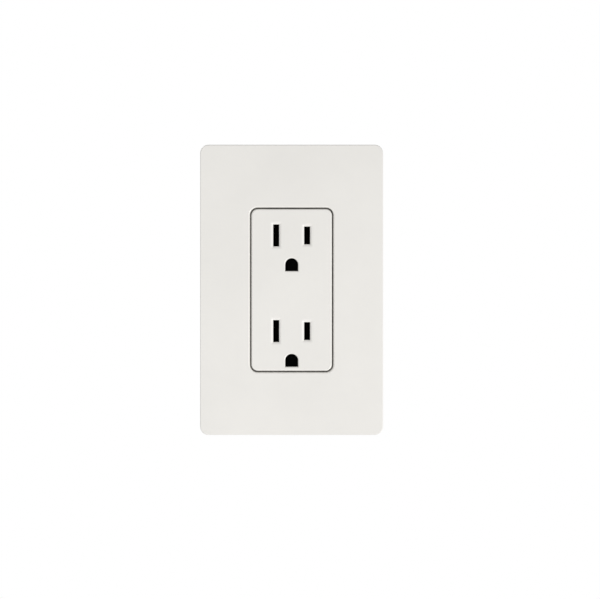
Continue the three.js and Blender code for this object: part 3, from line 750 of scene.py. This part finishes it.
def build_wall_plate():
    edge, inner_edge = sizes().plate_edge / MM, sizes().window_edge / MM
    cavity = PLATE_FRONT + PLATE_SKIN

    def outer(inset, y):
        shrunk = PLATE_WIDTH - 2 * inset, PLATE_HEIGHT - 2 * inset
        return Rectangle(*shrunk, PLATE_CORNER - min(inset, PLATE_WALL), y)

    def window(grow, y):
        grown = WINDOW_WIDTH + 2 * grow, WINDOW_HEIGHT + 2 * grow
        return Rectangle(*grown, WINDOW_CORNER + grow, y)

    foot = 0.3
    bm = bmesh.new()
    loft(bm, [
        outer(PLATE_WALL, -foot / 2),
        outer(PLATE_WALL - foot, 0),
        outer(foot, 0),
        outer(0, -foot),
        *[outer(edge * inset, PLATE_FRONT + edge * (1 - rise)) for inset, rise in quarter(8)],
        *[window(inner_edge * inset, PLATE_FRONT + inner_edge * (1 - rise))
          for inset, rise in reversed(quarter(5))],
        window(0, WINDOW_LIP_BACK - 0.2),
        window(0.2, WINDOW_LIP_BACK),
        window(WINDOW_LIP, WINDOW_LIP_BACK),
        window(WINDOW_LIP, cavity),
        outer(PLATE_WALL, cavity),
    ], closed=True)
    plate = object_from(bm, "wall_plate_moulding")

    ridges = bmesh.new()
    inner_x, inner_z = PLATE_WIDTH / 2 - PLATE_WALL, PLATE_HEIGHT / 2 - PLATE_WALL
    reach, half, y = 0.6, 4, (-1.9, -0.9)
    for side in BOTH:
        for end in BOTH:
            block(ridges, around(side * 18, half), y, sided(end, inner_z - reach, inner_z + 0.5))
        for z in (-36, 0, 36):
            block(ridges, sided(side, inner_x - reach, inner_x + 0.5), y, around(z, half))
    combine(plate, ridges, "UNION")
    pry = bmesh.new()
    block(pry, (-5, 5), (-1.4, 1), (-PLATE_HEIGHT / 2 - 1, -inner_z + 0.1))
    combine(plate, pry)
    finish_piece(plate, "wall_plate", finish("white moulding"))


def build_adapter():
    back = ADAPTER_FRONT + ADAPTER_THICK
    width, height = ADAPTER_HIGH.x - ADAPTER_LOW.x, ADAPTER_HIGH.z - ADAPTER_LOW.z
    corner, wall, window_rim = 2.2, 1.5, 1.5
    window = (38, 71.4, 4.6)
    screw_hole, sink = 1.9, 2.2
    ribs = back - 0.2, -1.6
    bm = bmesh.new()
    slab(bm, width, height, corner, (ADAPTER_FRONT, ADAPTER_HIGH.y))
    adapter = object_from(bm, "plate_adapter_moulding")
    hollow = bmesh.new()
    slab(hollow, width - 2 * wall, height - 2 * wall, 0.8, (back, 1))
    combine(adapter, hollow)

    raised = bmesh.new()
    rim = window[0] + 2 * window_rim, window[1] + 2 * window_rim, window[2] + window_rim
    slab(raised, *rim, (back - 0.2, -STRAP_THICK - 0.15))
    for end in BOTH:
        rod(raised, 3.1, (back - 0.2, -STRAP_THICK - 0.05), (0, end * PLATE_SCREW_Z))
        for side in BOTH:
            along = sided(end, 46.2, height / 2 - wall + 0.3)
            block(raised, around(side * 7, 0.6), ribs, along)
    for side in BOTH:
        for z in (-27, -9, 9, 27):
            block(raised, sided(side, 20, width / 2 - wall + 0.2), ribs, around(z, 0.6))
    combine(adapter, raised, "UNION")

    tools = bmesh.new()
    slab(tools, *window, (ADAPTER_FRONT - 1, 1))
    for end in BOTH:
        z = end * PLATE_SCREW_Z
        rod(tools, screw_hole, (ADAPTER_FRONT - 1, 1), (0, z))
        countersink = ADAPTER_FRONT - 0.85, ADAPTER_FRONT + 1.4
        rod(tools, screw_hole + sink, countersink, (0, z), end_radius=screw_hole)
        for side in BOTH:
            slab(tools, 14, 6, 1.5, (ADAPTER_FRONT - 1, back + 1), side * 22, end * 46, 4)
    combine(adapter, tools)
    groove = bmesh.new()
    groove_y, groove_depth = (-2.1, -0.7), 0.4
    for side in BOTH:
        block(groove, sided(side, width / 2 - groove_depth, width), groove_y, (-height, height))
        block(groove, (-width, width), groove_y, sided(side, height / 2 - groove_depth, height))
    combine(adapter, groove)
    soften(adapter, sizes().moulded_edge / MM)
    finish_piece(adapter, "plate_adapter", finish("adapter moulding"))


# ---------------------------------------------------------------- housing


def each_slot():
    """(x, z, height) of the four blade slots."""
    return [(side * BLADE_X, z, SLOT_HEIGHTS[side]) for z in BLADE_Z for side in BOTH]


def lead_in(grow, depth, steps=9, curve=2.4):
    """(grow, depth) steps of a lead-in: steep at the hole, and flat where it meets the face."""
    rows = [i / steps for i in range(steps + 1)]
    return [(grow * row, depth * (1 - row) ** curve) for row in rows]


def build_front_cover():
    edge = sizes().face_edge / MM
    ceiling = COVER_FRONT + FACE_SKIN

    def face(inset, y):
        shrunk = FACE_WIDTH - 2 * inset, FACE_HEIGHT - 2 * inset
        return Rectangle(*shrunk, max(FACE_CORNER - inset, 1), y)

    flange = COVER_HIGH.x - COVER_LOW.x, COVER_HIGH.z - COVER_LOW.z, 3.0
    bm = bmesh.new()
    loft(bm, [
        face(FACE_WALL, ceiling),
        face(FACE_WALL, FLANGE_BACK),
        Rectangle(*flange, FLANGE_BACK),
        Rectangle(*flange, FLANGE_FRONT),
        face(0, FLANGE_FRONT),
        *[face(edge * inset, COVER_FRONT + edge * (1 - rise)) for inset, rise in quarter(6)],
    ])
    cover = object_from(bm, "front_cover_moulding")

    guides = bmesh.new()
    for x, z, height in each_slot():
        wall = 2 * GUIDE_WALL
        slab(guides, SLOT_WIDTH + wall, height + wall, 0.4, (ceiling - 0.2, COVER_HIGH.y), x, z, 3)
    for z in BLADE_Z:
        radius = PIN_RADIUS + GUIDE_WALL
        loft(guides, [Arch(radius, y, z=z - PIN_DROP) for y in (ceiling - 0.2, FLANGE_BACK)])
    combine(cover, guides, "UNION")
    boss_radius, pilot_radius = 2.6, 1.45
    bosses = bmesh.new()
    for end in BOTH:
        for side in BOTH:
            centre = (side * HOUSING_X, end * HOUSING_Z)
            rod(bosses, boss_radius, (ceiling - 0.2, FLANGE_BACK), centre)
    envelope = object_from(bosses, "bosses")
    limit = bmesh.new()
    slab(limit, FACE_WIDTH - 0.4, FACE_HEIGHT - 0.4, FACE_CORNER, (COVER_FRONT + 1, FLANGE_BACK))
    combine(envelope, limit, "INTERSECT")
    trimmed = bmesh.new()
    trimmed.from_mesh(envelope.data)
    combine(cover, trimmed, "UNION")
    bpy.data.objects.remove(envelope)

    tools = bmesh.new()
    slot_bevel, pin_bevel = sizes().slot_bevel / MM, sizes().pin_bevel / MM
    for x, z, height in each_slot():
        def slot(grow, y):
            grown = SLOT_WIDTH + 2 * grow, height + 2 * grow
            return Rectangle(*grown, 0.15 + grow * 0.5, y, x, z, 4)

        mouth = [slot(grow, COVER_FRONT + y) for grow, y in lead_in(slot_bevel, 0.5)]
        loft(tools, [slot(0, COVER_HIGH.y + 1), *mouth, slot(slot_bevel, COVER_FRONT - 1)])
    for z in BLADE_Z:
        def pin(grow, y):
            return Arch(PIN_RADIUS + grow, y, z=z - PIN_DROP)

        mouth = [pin(grow, COVER_FRONT + y) for grow, y in lead_in(pin_bevel, 0.35)]
        loft(tools, [pin(0, 1), *mouth, pin(pin_bevel, COVER_FRONT - 1)])
    for end in BOTH:
        for side in BOTH:
            centre = (side * HOUSING_X, end * HOUSING_Z)
            rod(tools, pilot_radius, (ceiling - 0.1, 1), centre, segments=20)
    combine(cover, tools)
    finish_piece(cover, "front_cover", finish("white moulding"), sharp=32)


def wire_entry(tools, x, z, depth):
    """A wire hole from the back of the body forward to depth, with a funnel mouth."""
    hole, mouth = 1.3, 2.35
    rod(tools, hole, (depth, BODY_BACK + 1), (x, z), segments=28)
    rod(tools, hole, (BODY_BACK - 1.2, BODY_BACK + 0.4), (x, z), segments=28, end_radius=mouth)


def build_rear_body():
    rim = 0.8

    def outer(inset, y):
        return Rectangle(BODY_WIDTH - 2 * inset, BODY_HEIGHT - 2 * inset, BODY_CORNER - inset, y)

    bm = bmesh.new()
    loft(bm, [
        outer(0, BODY_FRONT),
        *[outer(rim * inset, BODY_BACK - rim * (1 - rise)) for inset, rise in quarter(4)],
    ])
    obj = object_from(bm, "rear_body_moulding")

    front, strap_seat, room = BODY_FRONT - 1, 0.1, 0.15
    strap_channel = (-11.8, 11.8)
    pin_x, pin_floor = (-3.8, 3.8), 19
    blade_inner, blade_half, blade_floor = 4.05, 5.75, 20
    pockets = bmesh.new()
    slab(pockets, BODY_WIDTH - 3.4, BODY_HEIGHT - 3.2, 1.4, (front, strap_seat))
    block(pockets, strap_channel, (front, strap_seat), (-50, 50))
    for z in BLADE_Z:
        block(pockets, pin_x, (front - 1, pin_floor), around(z - PIN_DROP, 3.9))
        for side in BOTH:
            contact_x = sided(side, blade_inner, BUS_OUTER + room)
            block(pockets, contact_x, (front - 1, blade_floor), around(z, blade_half))
    combine(obj, pockets)
    recesses = bmesh.new()
    upper_pin, lower_pin = (z - PIN_DROP for z in BLADE_Z)
    foot_length, rivet_room = 9.2, 2.4
    block(recesses, pin_x, (front - 1, 1), (upper_pin - foot_length, upper_pin))
    block(recesses, pin_x, (front - 1, 1), (lower_pin, lower_pin + foot_length))
    for rivet in RIVETS:
        rod(recesses, rivet_room, (front - 1, 2.6), (0, middle_of(rivet).z))
    for side in BOTH:
        strip_x = sided(side, 12.2, BUS_OUTER + room)
        block(recesses, strip_x, (front - 1, 15.3), (-17.9, 17.9))
        for end in BOTH:
            z = end * TERMINAL_Z
            block(recesses, sided(side, 7.9, 12.4), (front - 1, 12.2), around(z, 2.7))
    combine(obj, recesses)
    sides = bmesh.new()
    for side in BOTH:
        outward = sided(side, BUS_OUTER - 0.4, 20)
        block(sides, outward, around(TERMINAL_Y, 2.6), (-3, 3))
        for end in BOTH:
            z = end * TERMINAL_Z
            block(sides, outward, around(TERMINAL_Y, 6), around(z, 5.6))
    block(sides, (-20, -12.9), (front - 1, 12.2), (-40, GROUND_Z + 5.1))
    combine(obj, sides)
    shank_hole, head_hole = 1.7, 2.7
    holes = bmesh.new()
    for side in BOTH:
        for end in BOTH:
            for hand in BOTH:
                z = end * TERMINAL_Z + hand * WIRE_OFFSET
                wire_entry(holes, side * 14.9, z, TERMINAL_Y + 5)
            centre = (side * HOUSING_X, end * HOUSING_Z)
            rod(holes, shank_hole, (-2, BODY_BACK + 1), centre, segments=24)
            rod(holes, head_hole, (BODY_BACK - 2.6, BODY_BACK + 1), centre)
    rod(holes, head_hole, (-14, -11), (GROUND_Y, GROUND_Z), axis="X")
    for hand in BOTH:
        centre = (TAB_OUTER - 1.8, GROUND_Z + hand * WIRE_OFFSET)
        rod(holes, 1.5, (12, BODY_BACK + 1), centre, segments=28)
    block(holes, (-1, 1), (BODY_BACK - 0.5, BODY_BACK + 1), around(0, 12.7 / 2))
    combine(obj, holes)
    soften(obj, sizes().moulded_edge / MM)
    finish_piece(obj, "rear_body", finish("black moulding"))


# ---------------------------------------------------------------- strap


def build_strap():
    neck, web, middle, ear_x, ear_radius = 23.0, 7.4, 19.0, 14.2, 6.2

    def past(extra):
        """A depth range that runs past the sheet, different for each shape that joins it."""
        return -STRAP_THICK - 1 - extra, 1 + extra

    bm = bmesh.new()
    block(bm, (-web / 2, web / 2), past(0), (-24, 30))
    strap = object_from(bm, "mounting_strap_stamping")
    shapes = bmesh.new()
    block(shapes, (-middle / 2, middle / 2), past(0.1), (BLADE_Z[1] + 6.1, BLADE_Z[0] - 6.1))
    for end in BOTH:
        start = 28.5 if end > 0 else 23
        slab(shapes, neck, STRAP_HALF - start, 2.5, past(0.2), 0, end * (STRAP_HALF + start) / 2)
        for side in BOTH:
            centre = (side * ear_x, end * PLATE_SCREW_Z)
            rod(shapes, ear_radius, past(0.3), centre, segments=64)
            block(shapes, sided(side, 5, ear_x), past(0.4), around(end * PLATE_SCREW_Z, 2.2))
    block(shapes, (TAB_OUTER + 0.4, -8), past(0.1), around(GROUND_Z, 3.4))
    combine(strap, shapes, "UNION")
    sheet = bmesh.new()
    block(sheet, (-PLATE_WIDTH, PLATE_WIDTH), (-STRAP_THICK, 0), (-PLATE_HEIGHT, PLATE_HEIGHT))
    combine(strap, sheet, "INTERSECT")
    tab = bmesh.new()
    tab_x = TAB_OUTER, TAB_OUTER + STRAP_THICK
    block(tab, tab_x, (-STRAP_THICK, 10.6), around(GROUND_Z, TAB_HALF))
    combine(strap, tab, "UNION")

    through = (-STRAP_THICK - 1, 1)
    box_slot, box_slot_corner = (9.2, 4.4), 2.19
    plate_hole, housing_hole, ear_hole, rivet_hole, tab_hole = 1.9, 1.75, 1.7, 1.45, 2.55
    scores = bmesh.new()
    for end in BOTH:
        for side in BOTH:
            depth = -STRAP_THICK - 1, -STRAP_THICK + 0.4
            block(scores, around(side * 10.3, 0.25), depth, around(end * PLATE_SCREW_Z, 8))
    combine(strap, scores)
    tools = bmesh.new()
    for end in BOTH:
        z = end * PLATE_SCREW_Z
        slab(tools, *box_slot, box_slot_corner, through, 0, end * BOX_SCREW_Z, 10)
        rod(tools, plate_hole, through, (0, z))
        for side in BOTH:
            rod(tools, housing_hole, through, (side * HOUSING_X, end * HOUSING_Z), segments=28)
            rod(tools, ear_hole, through, (side * (ear_x + 0.6), z), segments=28)
            for hand in BOTH:
                slab(tools, 1.3, 5, 0.6, through, side * 10.4, z + hand * 4.7, 4)
    for z in BLADE_Z:
        loft(tools, [Arch(PIN_RADIUS + 0.5, y, z=z - PIN_DROP) for y in through])
    for rivet in RIVETS:
        rod(tools, rivet_hole, through, (0, middle_of(rivet).z), segments=24)
    across_tab = TAB_OUTER - 1, TAB_OUTER + STRAP_THICK + 1
    rod(tools, tab_hole, across_tab, (GROUND_Y, GROUND_Z), axis="X")
    combine(strap, tools)
    soften(strap, sizes().stamped_edge / MM)
    finish_piece(strap, "mounting_strap", finish("zinc sheet"))


# ---------------------------------------------------------------- screws


def shank_points(tip, radius, top, pitch):
    """Profile of a threaded shank from its tip up to top, with eight rings to a pitch."""
    start, end = tip + 0.7, top - 0.05
    rings = max(2, int((end - start) / pitch * 8))
    straight = [(radius, start + (end - start) * i / rings) for i in range(rings + 1)]
    return [(0, tip), (radius * 0.62, tip), *straight], (start, end)


def threaded_screw(name, tip, radius, head, segments=32, under_head=0.0):
    """A screw along Y with its thread below Y = 0, and a turned head above it."""
    pitch = sizes().thread_pitch / MM
    shank, span = shank_points(tip, radius, under_head, pitch)
    bm = lathe([*shank, (radius, under_head), *head], segments)
    cut_thread(bm, radius, 0.45 * pitch, span, pitch)
    return object_from(bm, name)


def slotted(obj, top, reach, slot, cross=None):
    """Cuts a slot, and a shorter cross if given, into a head that ends at top."""
    tools = bmesh.new()
    depth, width = slot
    block(tools, (-reach, reach), (top - depth, top + 2), around(0, width / 2))
    if cross:
        block(tools, around(0, width * 0.55), (top - depth * 1.35, top + 2), around(0, cross))
    combine(obj, tools)


def toward(direction, place, turn=0.0):
    """Places a screw made along Y: its head to the room, to the back, or out at one side."""
    spin = {"room": math.pi, "back": 0.0, "left": math.pi / 2, "right": -math.pi / 2}[direction]
    twist = Matrix.Rotation(math.radians(turn), 4, "Y")
    return Matrix.Translation(place) @ Matrix.Rotation(spin, 4, "Z") @ twist


def build_terminals():
    top = 2.1
    head = [
        (4.0, 0),
        *arc_points((3.95, 0.2), 0.15, -60, 0, 3),
        *arc_points((3.7, 0.95), 0.4, 0, 70, 5),
        (3.0, 1.75), (2.0, 1.98), (1.0, 2.08), (0, top),
    ]
    turns = {"hot_upper": 24, "hot_lower": -38, "neutral_upper": 71, "neutral_lower": 8}
    seat = BUS_OUTER + CLAMP_STACK
    for pole, side in POLES.items():
        metal = "brass screw" if pole == "hot" else "nickel screw"
        for level, end in LEVELS.items():
            node = f"{pole}_terminal_screw_{level}"
            screw = threaded_screw(node + "_threaded", -6.2, 1.95, head, 40)
            slotted(screw, top, 5, (1.2, 1.2), 1.9)
            direction = "right" if side > 0 else "left"
            place = (side * seat, TERMINAL_Y, end * TERMINAL_Z)
            finish_piece(screw, node, finish(metal),
                         toward(direction, place, turns[f"{pole}_{level}"]))


def build_ground_screw():
    top, flange_top = 2.9, 0.68
    washer = [
        (4.4, 0),
        *arc_points((4.4, 0.2), 0.2, -90, 0, 4),
        *arc_points((4.35, 0.4), 0.25, 0, 80, 4),
        (3.9, flange_top), (0, flange_top),
    ]
    screw = threaded_screw("ground_screw_threaded", -4.8, 2.25, washer, 40)
    hexagon = bmesh.new()
    rod(hexagon, 3.8, (0.4, top), segments=6)
    blank = object_from(hexagon, "hexagon")
    chamfer = lathe([(0, 0), (4.0, 0), (4.0, 2.4), (3.1, top), (0, top)], 48)
    combine(blank, chamfer, "INTERSECT")
    trimmed = bmesh.new()
    trimmed.from_mesh(blank.data)
    bpy.data.objects.remove(blank)
    combine(screw, trimmed, "UNION")
    slotted(screw, top, 6, (1.0, 1.2))
    place = toward("left", (TAB_OUTER - CLAMP_STACK, GROUND_Y, GROUND_Z), 17)
    finish_piece(screw, "ground_screw", finish("green screw"), place)


def build_mounting_screws():
    top = 2.0
    head = [
        (3.15, 0),
        *arc_points((3.1, 0.2), 0.2, -60, 0, 3),
        (3.3, 0.75),
        *arc_points((1.35, -0.65), 2.62, 33, 84, 8),
        (0, top),
    ]
    for name, end in ENDS.items():
        node = f"mounting_screw_{name}"
        screw = threaded_screw(node + "_threaded", -25.4, 1.6, head, 28)
        slotted(screw, top, 4, (1.0, 0.9), 1.5)
        place = toward("room", (0, -STRAP_THICK - 0.05, end * BOX_SCREW_Z), 12 * end)
        finish_piece(screw, node, finish("zinc screw"), place)


def build_adapter_screws():
    head = [
        (1.5, -1.6), (2.88, -0.25),
        *arc_points((2.8, -0.15), 0.15, -30, 90, 4),
        (0, 0),
    ]
    for name, end in ENDS.items():
        node = f"adapter_screw_{name}"
        screw = threaded_screw(node + "_threaded", -8.5, 1.5, head, 28, under_head=-1.7)
        slotted(screw, 0.0, 4, (0.8, 1.0))
        place = toward("room", (0, ADAPTER_FRONT, end * PLATE_SCREW_Z), 90 + 9 * end)
        finish_piece(screw, node, finish("painted screw"), place)


def build_housing_screws():
    top = 1.8
    head = [
        (2.15, 0),
        *arc_points((2.15, 0.15), 0.15, -90, 0, 3),
        (2.3, 1.0),
        *arc_points((1.8, 1.1), 0.5, 0, 75, 5),
        (0.8, 1.75), (0, top),
    ]
    for name, end in ENDS.items():
        for hand, side in {"left": -1, "right": 1}.items():
            node = f"housing_screw_{name}_{hand}"
            screw = threaded_screw(node + "_threaded", -26.2, 1.15, head, 24)
            slotted(screw, top, 1.5, (0.7, 0.8), 1.2)
            seat = (side * HOUSING_X, BODY_BACK - 2.55, end * HOUSING_Z)
            place = toward("back", seat, 30 * side + 14 * end)
            finish_piece(screw, node, finish("zinc screw"), place)


# ---------------------------------------------------------------- clamps and retainers


def build_clamps():
    half, screw_bore, ground_bore, groove_radius, tooth_pitch = 4.65, 2.4, 2.6, 0.9, 0.8
    places = {}
    for pole, side in POLES.items():
        for level, end in LEVELS.items():
            direction = "right" if side > 0 else "left"
            place = (side * (BUS_OUTER + SEAT_GAP), TERMINAL_Y, end * TERMINAL_Z)
            places[f"{pole}_wire_clamp_{level}"] = (direction, place, screw_bore)
    ground_place = (TAB_OUTER - SEAT_GAP, GROUND_Y, GROUND_Z)
    places["ground_wire_clamp"] = ("left", ground_place, ground_bore)
    for node, (direction, place, bore) in places.items():
        bm = bmesh.new()
        slab(bm, 2 * half, 2 * half, 0.5, (0, CLAMP_THICK), steps=3)
        clamp = object_from(bm, node + "_pressing")
        tools = bmesh.new()
        rod(tools, bore, (-1, 3), segments=40)
        for hand in BOTH:
            rod(tools, groove_radius, (-8, 8), (-0.35, hand * WIRE_OFFSET), axis="X")
        combine(clamp, tools)
        teeth = bmesh.new()
        for hand in BOTH:
            for i in range(-5, 6):
                across = around(i * tooth_pitch, 0.1)
                block(teeth, across, (-1, 0.75), around(hand * WIRE_OFFSET, 0.62))
        combine(clamp, teeth)
        soften(clamp, 0.07, 2)
        finish_piece(clamp, node, finish("clamp steel"), toward(direction, place))


def build_retainers():
    for name, end in ENDS.items():
        node = f"screw_retainer_{name}"
        bm = bmesh.new()
        width, height, corner, depths = 11.5, 8.6, 1.2, (0.05, 0.85)
        slab(bm, width, height, corner, depths, 0, end * BOX_SCREW_Z, 8)
        washer = object_from(bm, node + "_washer")
        tools = bmesh.new()
        rod(tools, 1.8, (-1, 2), (0, end * BOX_SCREW_Z), segments=32)
        combine(washer, tools)
        soften(washer, 0.1)
        finish_piece(washer, node, finish("fibre washer"))


def finish_contacts():
    """The flat contacts keep their modelled shape and get their finish."""
    finishes = {
        "hot_bus_strip": "contact brass",
        "neutral_bus_strip": "contact brass",
        "ground_contact_upper": "contact brass",
        "ground_contact_lower": "contact brass",
        "ground_rivet_upper": "nickel screw",
        "ground_rivet_lower": "nickel screw",
    }
    for node, name in finishes.items():
        for material_slot in frame["nodes"][node].material_slots:
            material_slot.material = finish(name)


# ---------------------------------------------------------------- stage


def add_light(name, place, size, power):
    """A square white area light that looks at the middle of the outlet."""
    data = bpy.data.lights.new(name, "AREA")
    data.size = size
    data.energy = power
    lamp = bpy.data.objects.new(name, data)
    bpy.context.scene.collection.objects.link(lamp)
    lamp.location = place
    lamp.rotation_euler = (-Vector(place)).to_track_quat("-Z", "Y").to_euler()


def build_stage():
    scene = bpy.context.scene
    camera_data = bpy.data.cameras.new("camera")
    camera = bpy.data.objects.new("camera", camera_data)
    scene.collection.objects.link(camera)
    distance, frame_width = 1.5, 0.246
    camera.location = (0.00343, -distance, -0.00395)
    camera.rotation_euler = (math.pi / 2, 0, 0)
    camera_data.lens = camera_data.sensor_width * (distance + PLATE_FRONT * MM) / frame_width
    scene.camera = camera

    floor_radius, floor_height = 0.34, -0.22
    bm = bmesh.new()
    bmesh.ops.create_circle(
        bm, cap_ends=True, segments=96, radius=floor_radius,
        matrix=Matrix.Translation((0, 0, floor_height)),
    )
    mesh = bpy.data.meshes.new("floor")
    bm.to_mesh(mesh)
    bm.free()
    floor = bpy.data.objects.new("floor", mesh)
    scene.collection.objects.link(floor)
    material, tree, shader = new_material("pale floor")
    clouds = mottle_in(tree, 4.0, 200.0)["Clouds"]
    pale = blend_colours(tree, clouds, (0.8, 0.8, 0.8), (0.84, 0.84, 0.84))
    put(tree, shader.inputs["Base Color"], pale)
    shader.inputs["Roughness"].default_value = 0.8
    floor.data.materials.append(material)

    world = bpy.data.worlds.new("studio")
    world.use_nodes = True
    scene.world = world
    tree = world.node_tree
    tree.nodes.clear()
    white = (1.0, 1.0, 1.0)
    soft = shader_node(tree, "ShaderNodeBackground", {"Color": white, "Strength": 0.298})
    seen = shader_node(tree, "ShaderNodeBackground", {"Color": white, "Strength": 1.0})
    ray = shader_node(tree, "ShaderNodeLightPath").outputs["Is Camera Ray"]
    mix = shader_node(tree, "ShaderNodeMixShader", {0: ray, 1: soft.outputs[0], 2: seen.outputs[0]})
    output = tree.nodes.new("ShaderNodeOutputWorld")
    tree.links.new(mix.outputs[0], output.inputs["Surface"])

    add_light("key", (0.8, -0.8, -0.36), 0.35, 10.3)
    add_light("fill", (-0.35, -0.55, -0.22), 0.45, 1.65)
    add_light("back", (-0.6, 0.9, 0.7), 0.8, 7.0)
    scene.view_settings.view_transform = "Standard"


# ---------------------------------------------------------------- operators


class OUTLET_OT_wall_plate(bpy.types.Operator):
    """Mould the wall plate with its rounded edges, window lip and clip ridges"""

    bl_idname = "outlet.wall_plate"
    bl_label = "Wall Plate"

    def execute(self, context):
        build_wall_plate()
        return {"FINISHED"}


class OUTLET_OT_plate_adapter(bpy.types.Operator):
    """Mould the frame that holds the wall plate"""

    bl_idname = "outlet.plate_adapter"
    bl_label = "Plate Adapter"

    def execute(self, context):
        build_adapter()
        return {"FINISHED"}


class OUTLET_OT_front_cover(bpy.types.Operator):
    """Mould the receptacle's face with its slots and ground holes"""

    bl_idname = "outlet.front_cover"
    bl_label = "Front Cover"

    def execute(self, context):
        build_front_cover()
        return {"FINISHED"}


class OUTLET_OT_rear_body(bpy.types.Operator):
    """Mould the black body behind the strap"""

    bl_idname = "outlet.rear_body"
    bl_label = "Rear Body"

    def execute(self, context):
        build_rear_body()
        return {"FINISHED"}


class OUTLET_OT_mounting_strap(bpy.types.Operator):
    """Stamp the steel strap with its ears and ground tab"""

    bl_idname = "outlet.mounting_strap"
    bl_label = "Mounting Strap"

    def execute(self, context):
        build_strap()
        return {"FINISHED"}


class OUTLET_OT_terminal_screws(bpy.types.Operator):
    """Turn the four terminal screws and the ground screw"""

    bl_idname = "outlet.terminal_screws"
    bl_label = "Terminal Screws"

    def execute(self, context):
        build_terminals()
        build_ground_screw()
        return {"FINISHED"}


class OUTLET_OT_fixing_screws(bpy.types.Operator):
    """Turn the screws that fix the strap, the adapter and the housing"""

    bl_idname = "outlet.fixing_screws"
    bl_label = "Fixing Screws"

    def execute(self, context):
        build_mounting_screws()
        build_adapter_screws()
        build_housing_screws()
        return {"FINISHED"}


class OUTLET_OT_wire_clamps(bpy.types.Operator):
    """Press the five grooved clamps that hold the wires"""

    bl_idname = "outlet.wire_clamps"
    bl_label = "Wire Clamps"

    def execute(self, context):
        build_clamps()
        return {"FINISHED"}


class OUTLET_OT_screw_retainers(bpy.types.Operator):
    """Cut the fibre washers that keep the mounting screws"""

    bl_idname = "outlet.screw_retainers"
    bl_label = "Screw Retainers"

    def execute(self, context):
        build_retainers()
        return {"FINISHED"}


class OUTLET_OT_contacts(bpy.types.Operator):
    """Give the bus strips, ground contacts and rivets their metal"""

    bl_idname = "outlet.contacts"
    bl_label = "Contacts"

    def execute(self, context):
        finish_contacts()
        return {"FINISHED"}


class OUTLET_OT_stage(bpy.types.Operator):
    """Set up the floor, the lights and the camera"""

    bl_idname = "outlet.stage"
    bl_label = "Stage"

    def execute(self, context):
        build_stage()
        return {"FINISHED"}


STEPS = (
    OUTLET_OT_stage,
    OUTLET_OT_wall_plate,
    OUTLET_OT_plate_adapter,
    OUTLET_OT_front_cover,
    OUTLET_OT_rear_body,
    OUTLET_OT_mounting_strap,
    OUTLET_OT_terminal_screws,
    OUTLET_OT_fixing_screws,
    OUTLET_OT_wire_clamps,
    OUTLET_OT_screw_retainers,
    OUTLET_OT_contacts,
)


class OUTLET_PT_panel(bpy.types.Panel):
    """Lists the steps that build the outlet, with its sizes and colours"""

    bl_label = "Duplex Wall Outlet"
    bl_space_type = "VIEW_3D"
    bl_region_type = "UI"
    bl_category = "Outlet"

    def draw(self, context):
        for step in STEPS:
            self.layout.operator(step.bl_idname)
        for settings in (context.scene.outlet_sizes, context.scene.outlet_colours):
            column = self.layout.column(align=True)
            for name in settings.__annotations__:
                column.prop(settings, name)


CLASSES = (OutletSizes, OutletColours, *STEPS, OUTLET_PT_panel)


def register():
    for cls in CLASSES:
        bpy.utils.register_class(cls)
    bpy.types.Scene.outlet_sizes = PointerProperty(type=OutletSizes)
    bpy.types.Scene.outlet_colours = PointerProperty(type=OutletColours)


def unregister():
    del bpy.types.Scene.outlet_colours
    del bpy.types.Scene.outlet_sizes
    for cls in reversed(CLASSES):
        bpy.utils.unregister_class(cls)


def main():
    register()
    for step in STEPS:
        category, name = step.bl_idname.split(".")
        getattr(getattr(bpy.ops, category), name)()


if __name__ == "__main__":
    main()
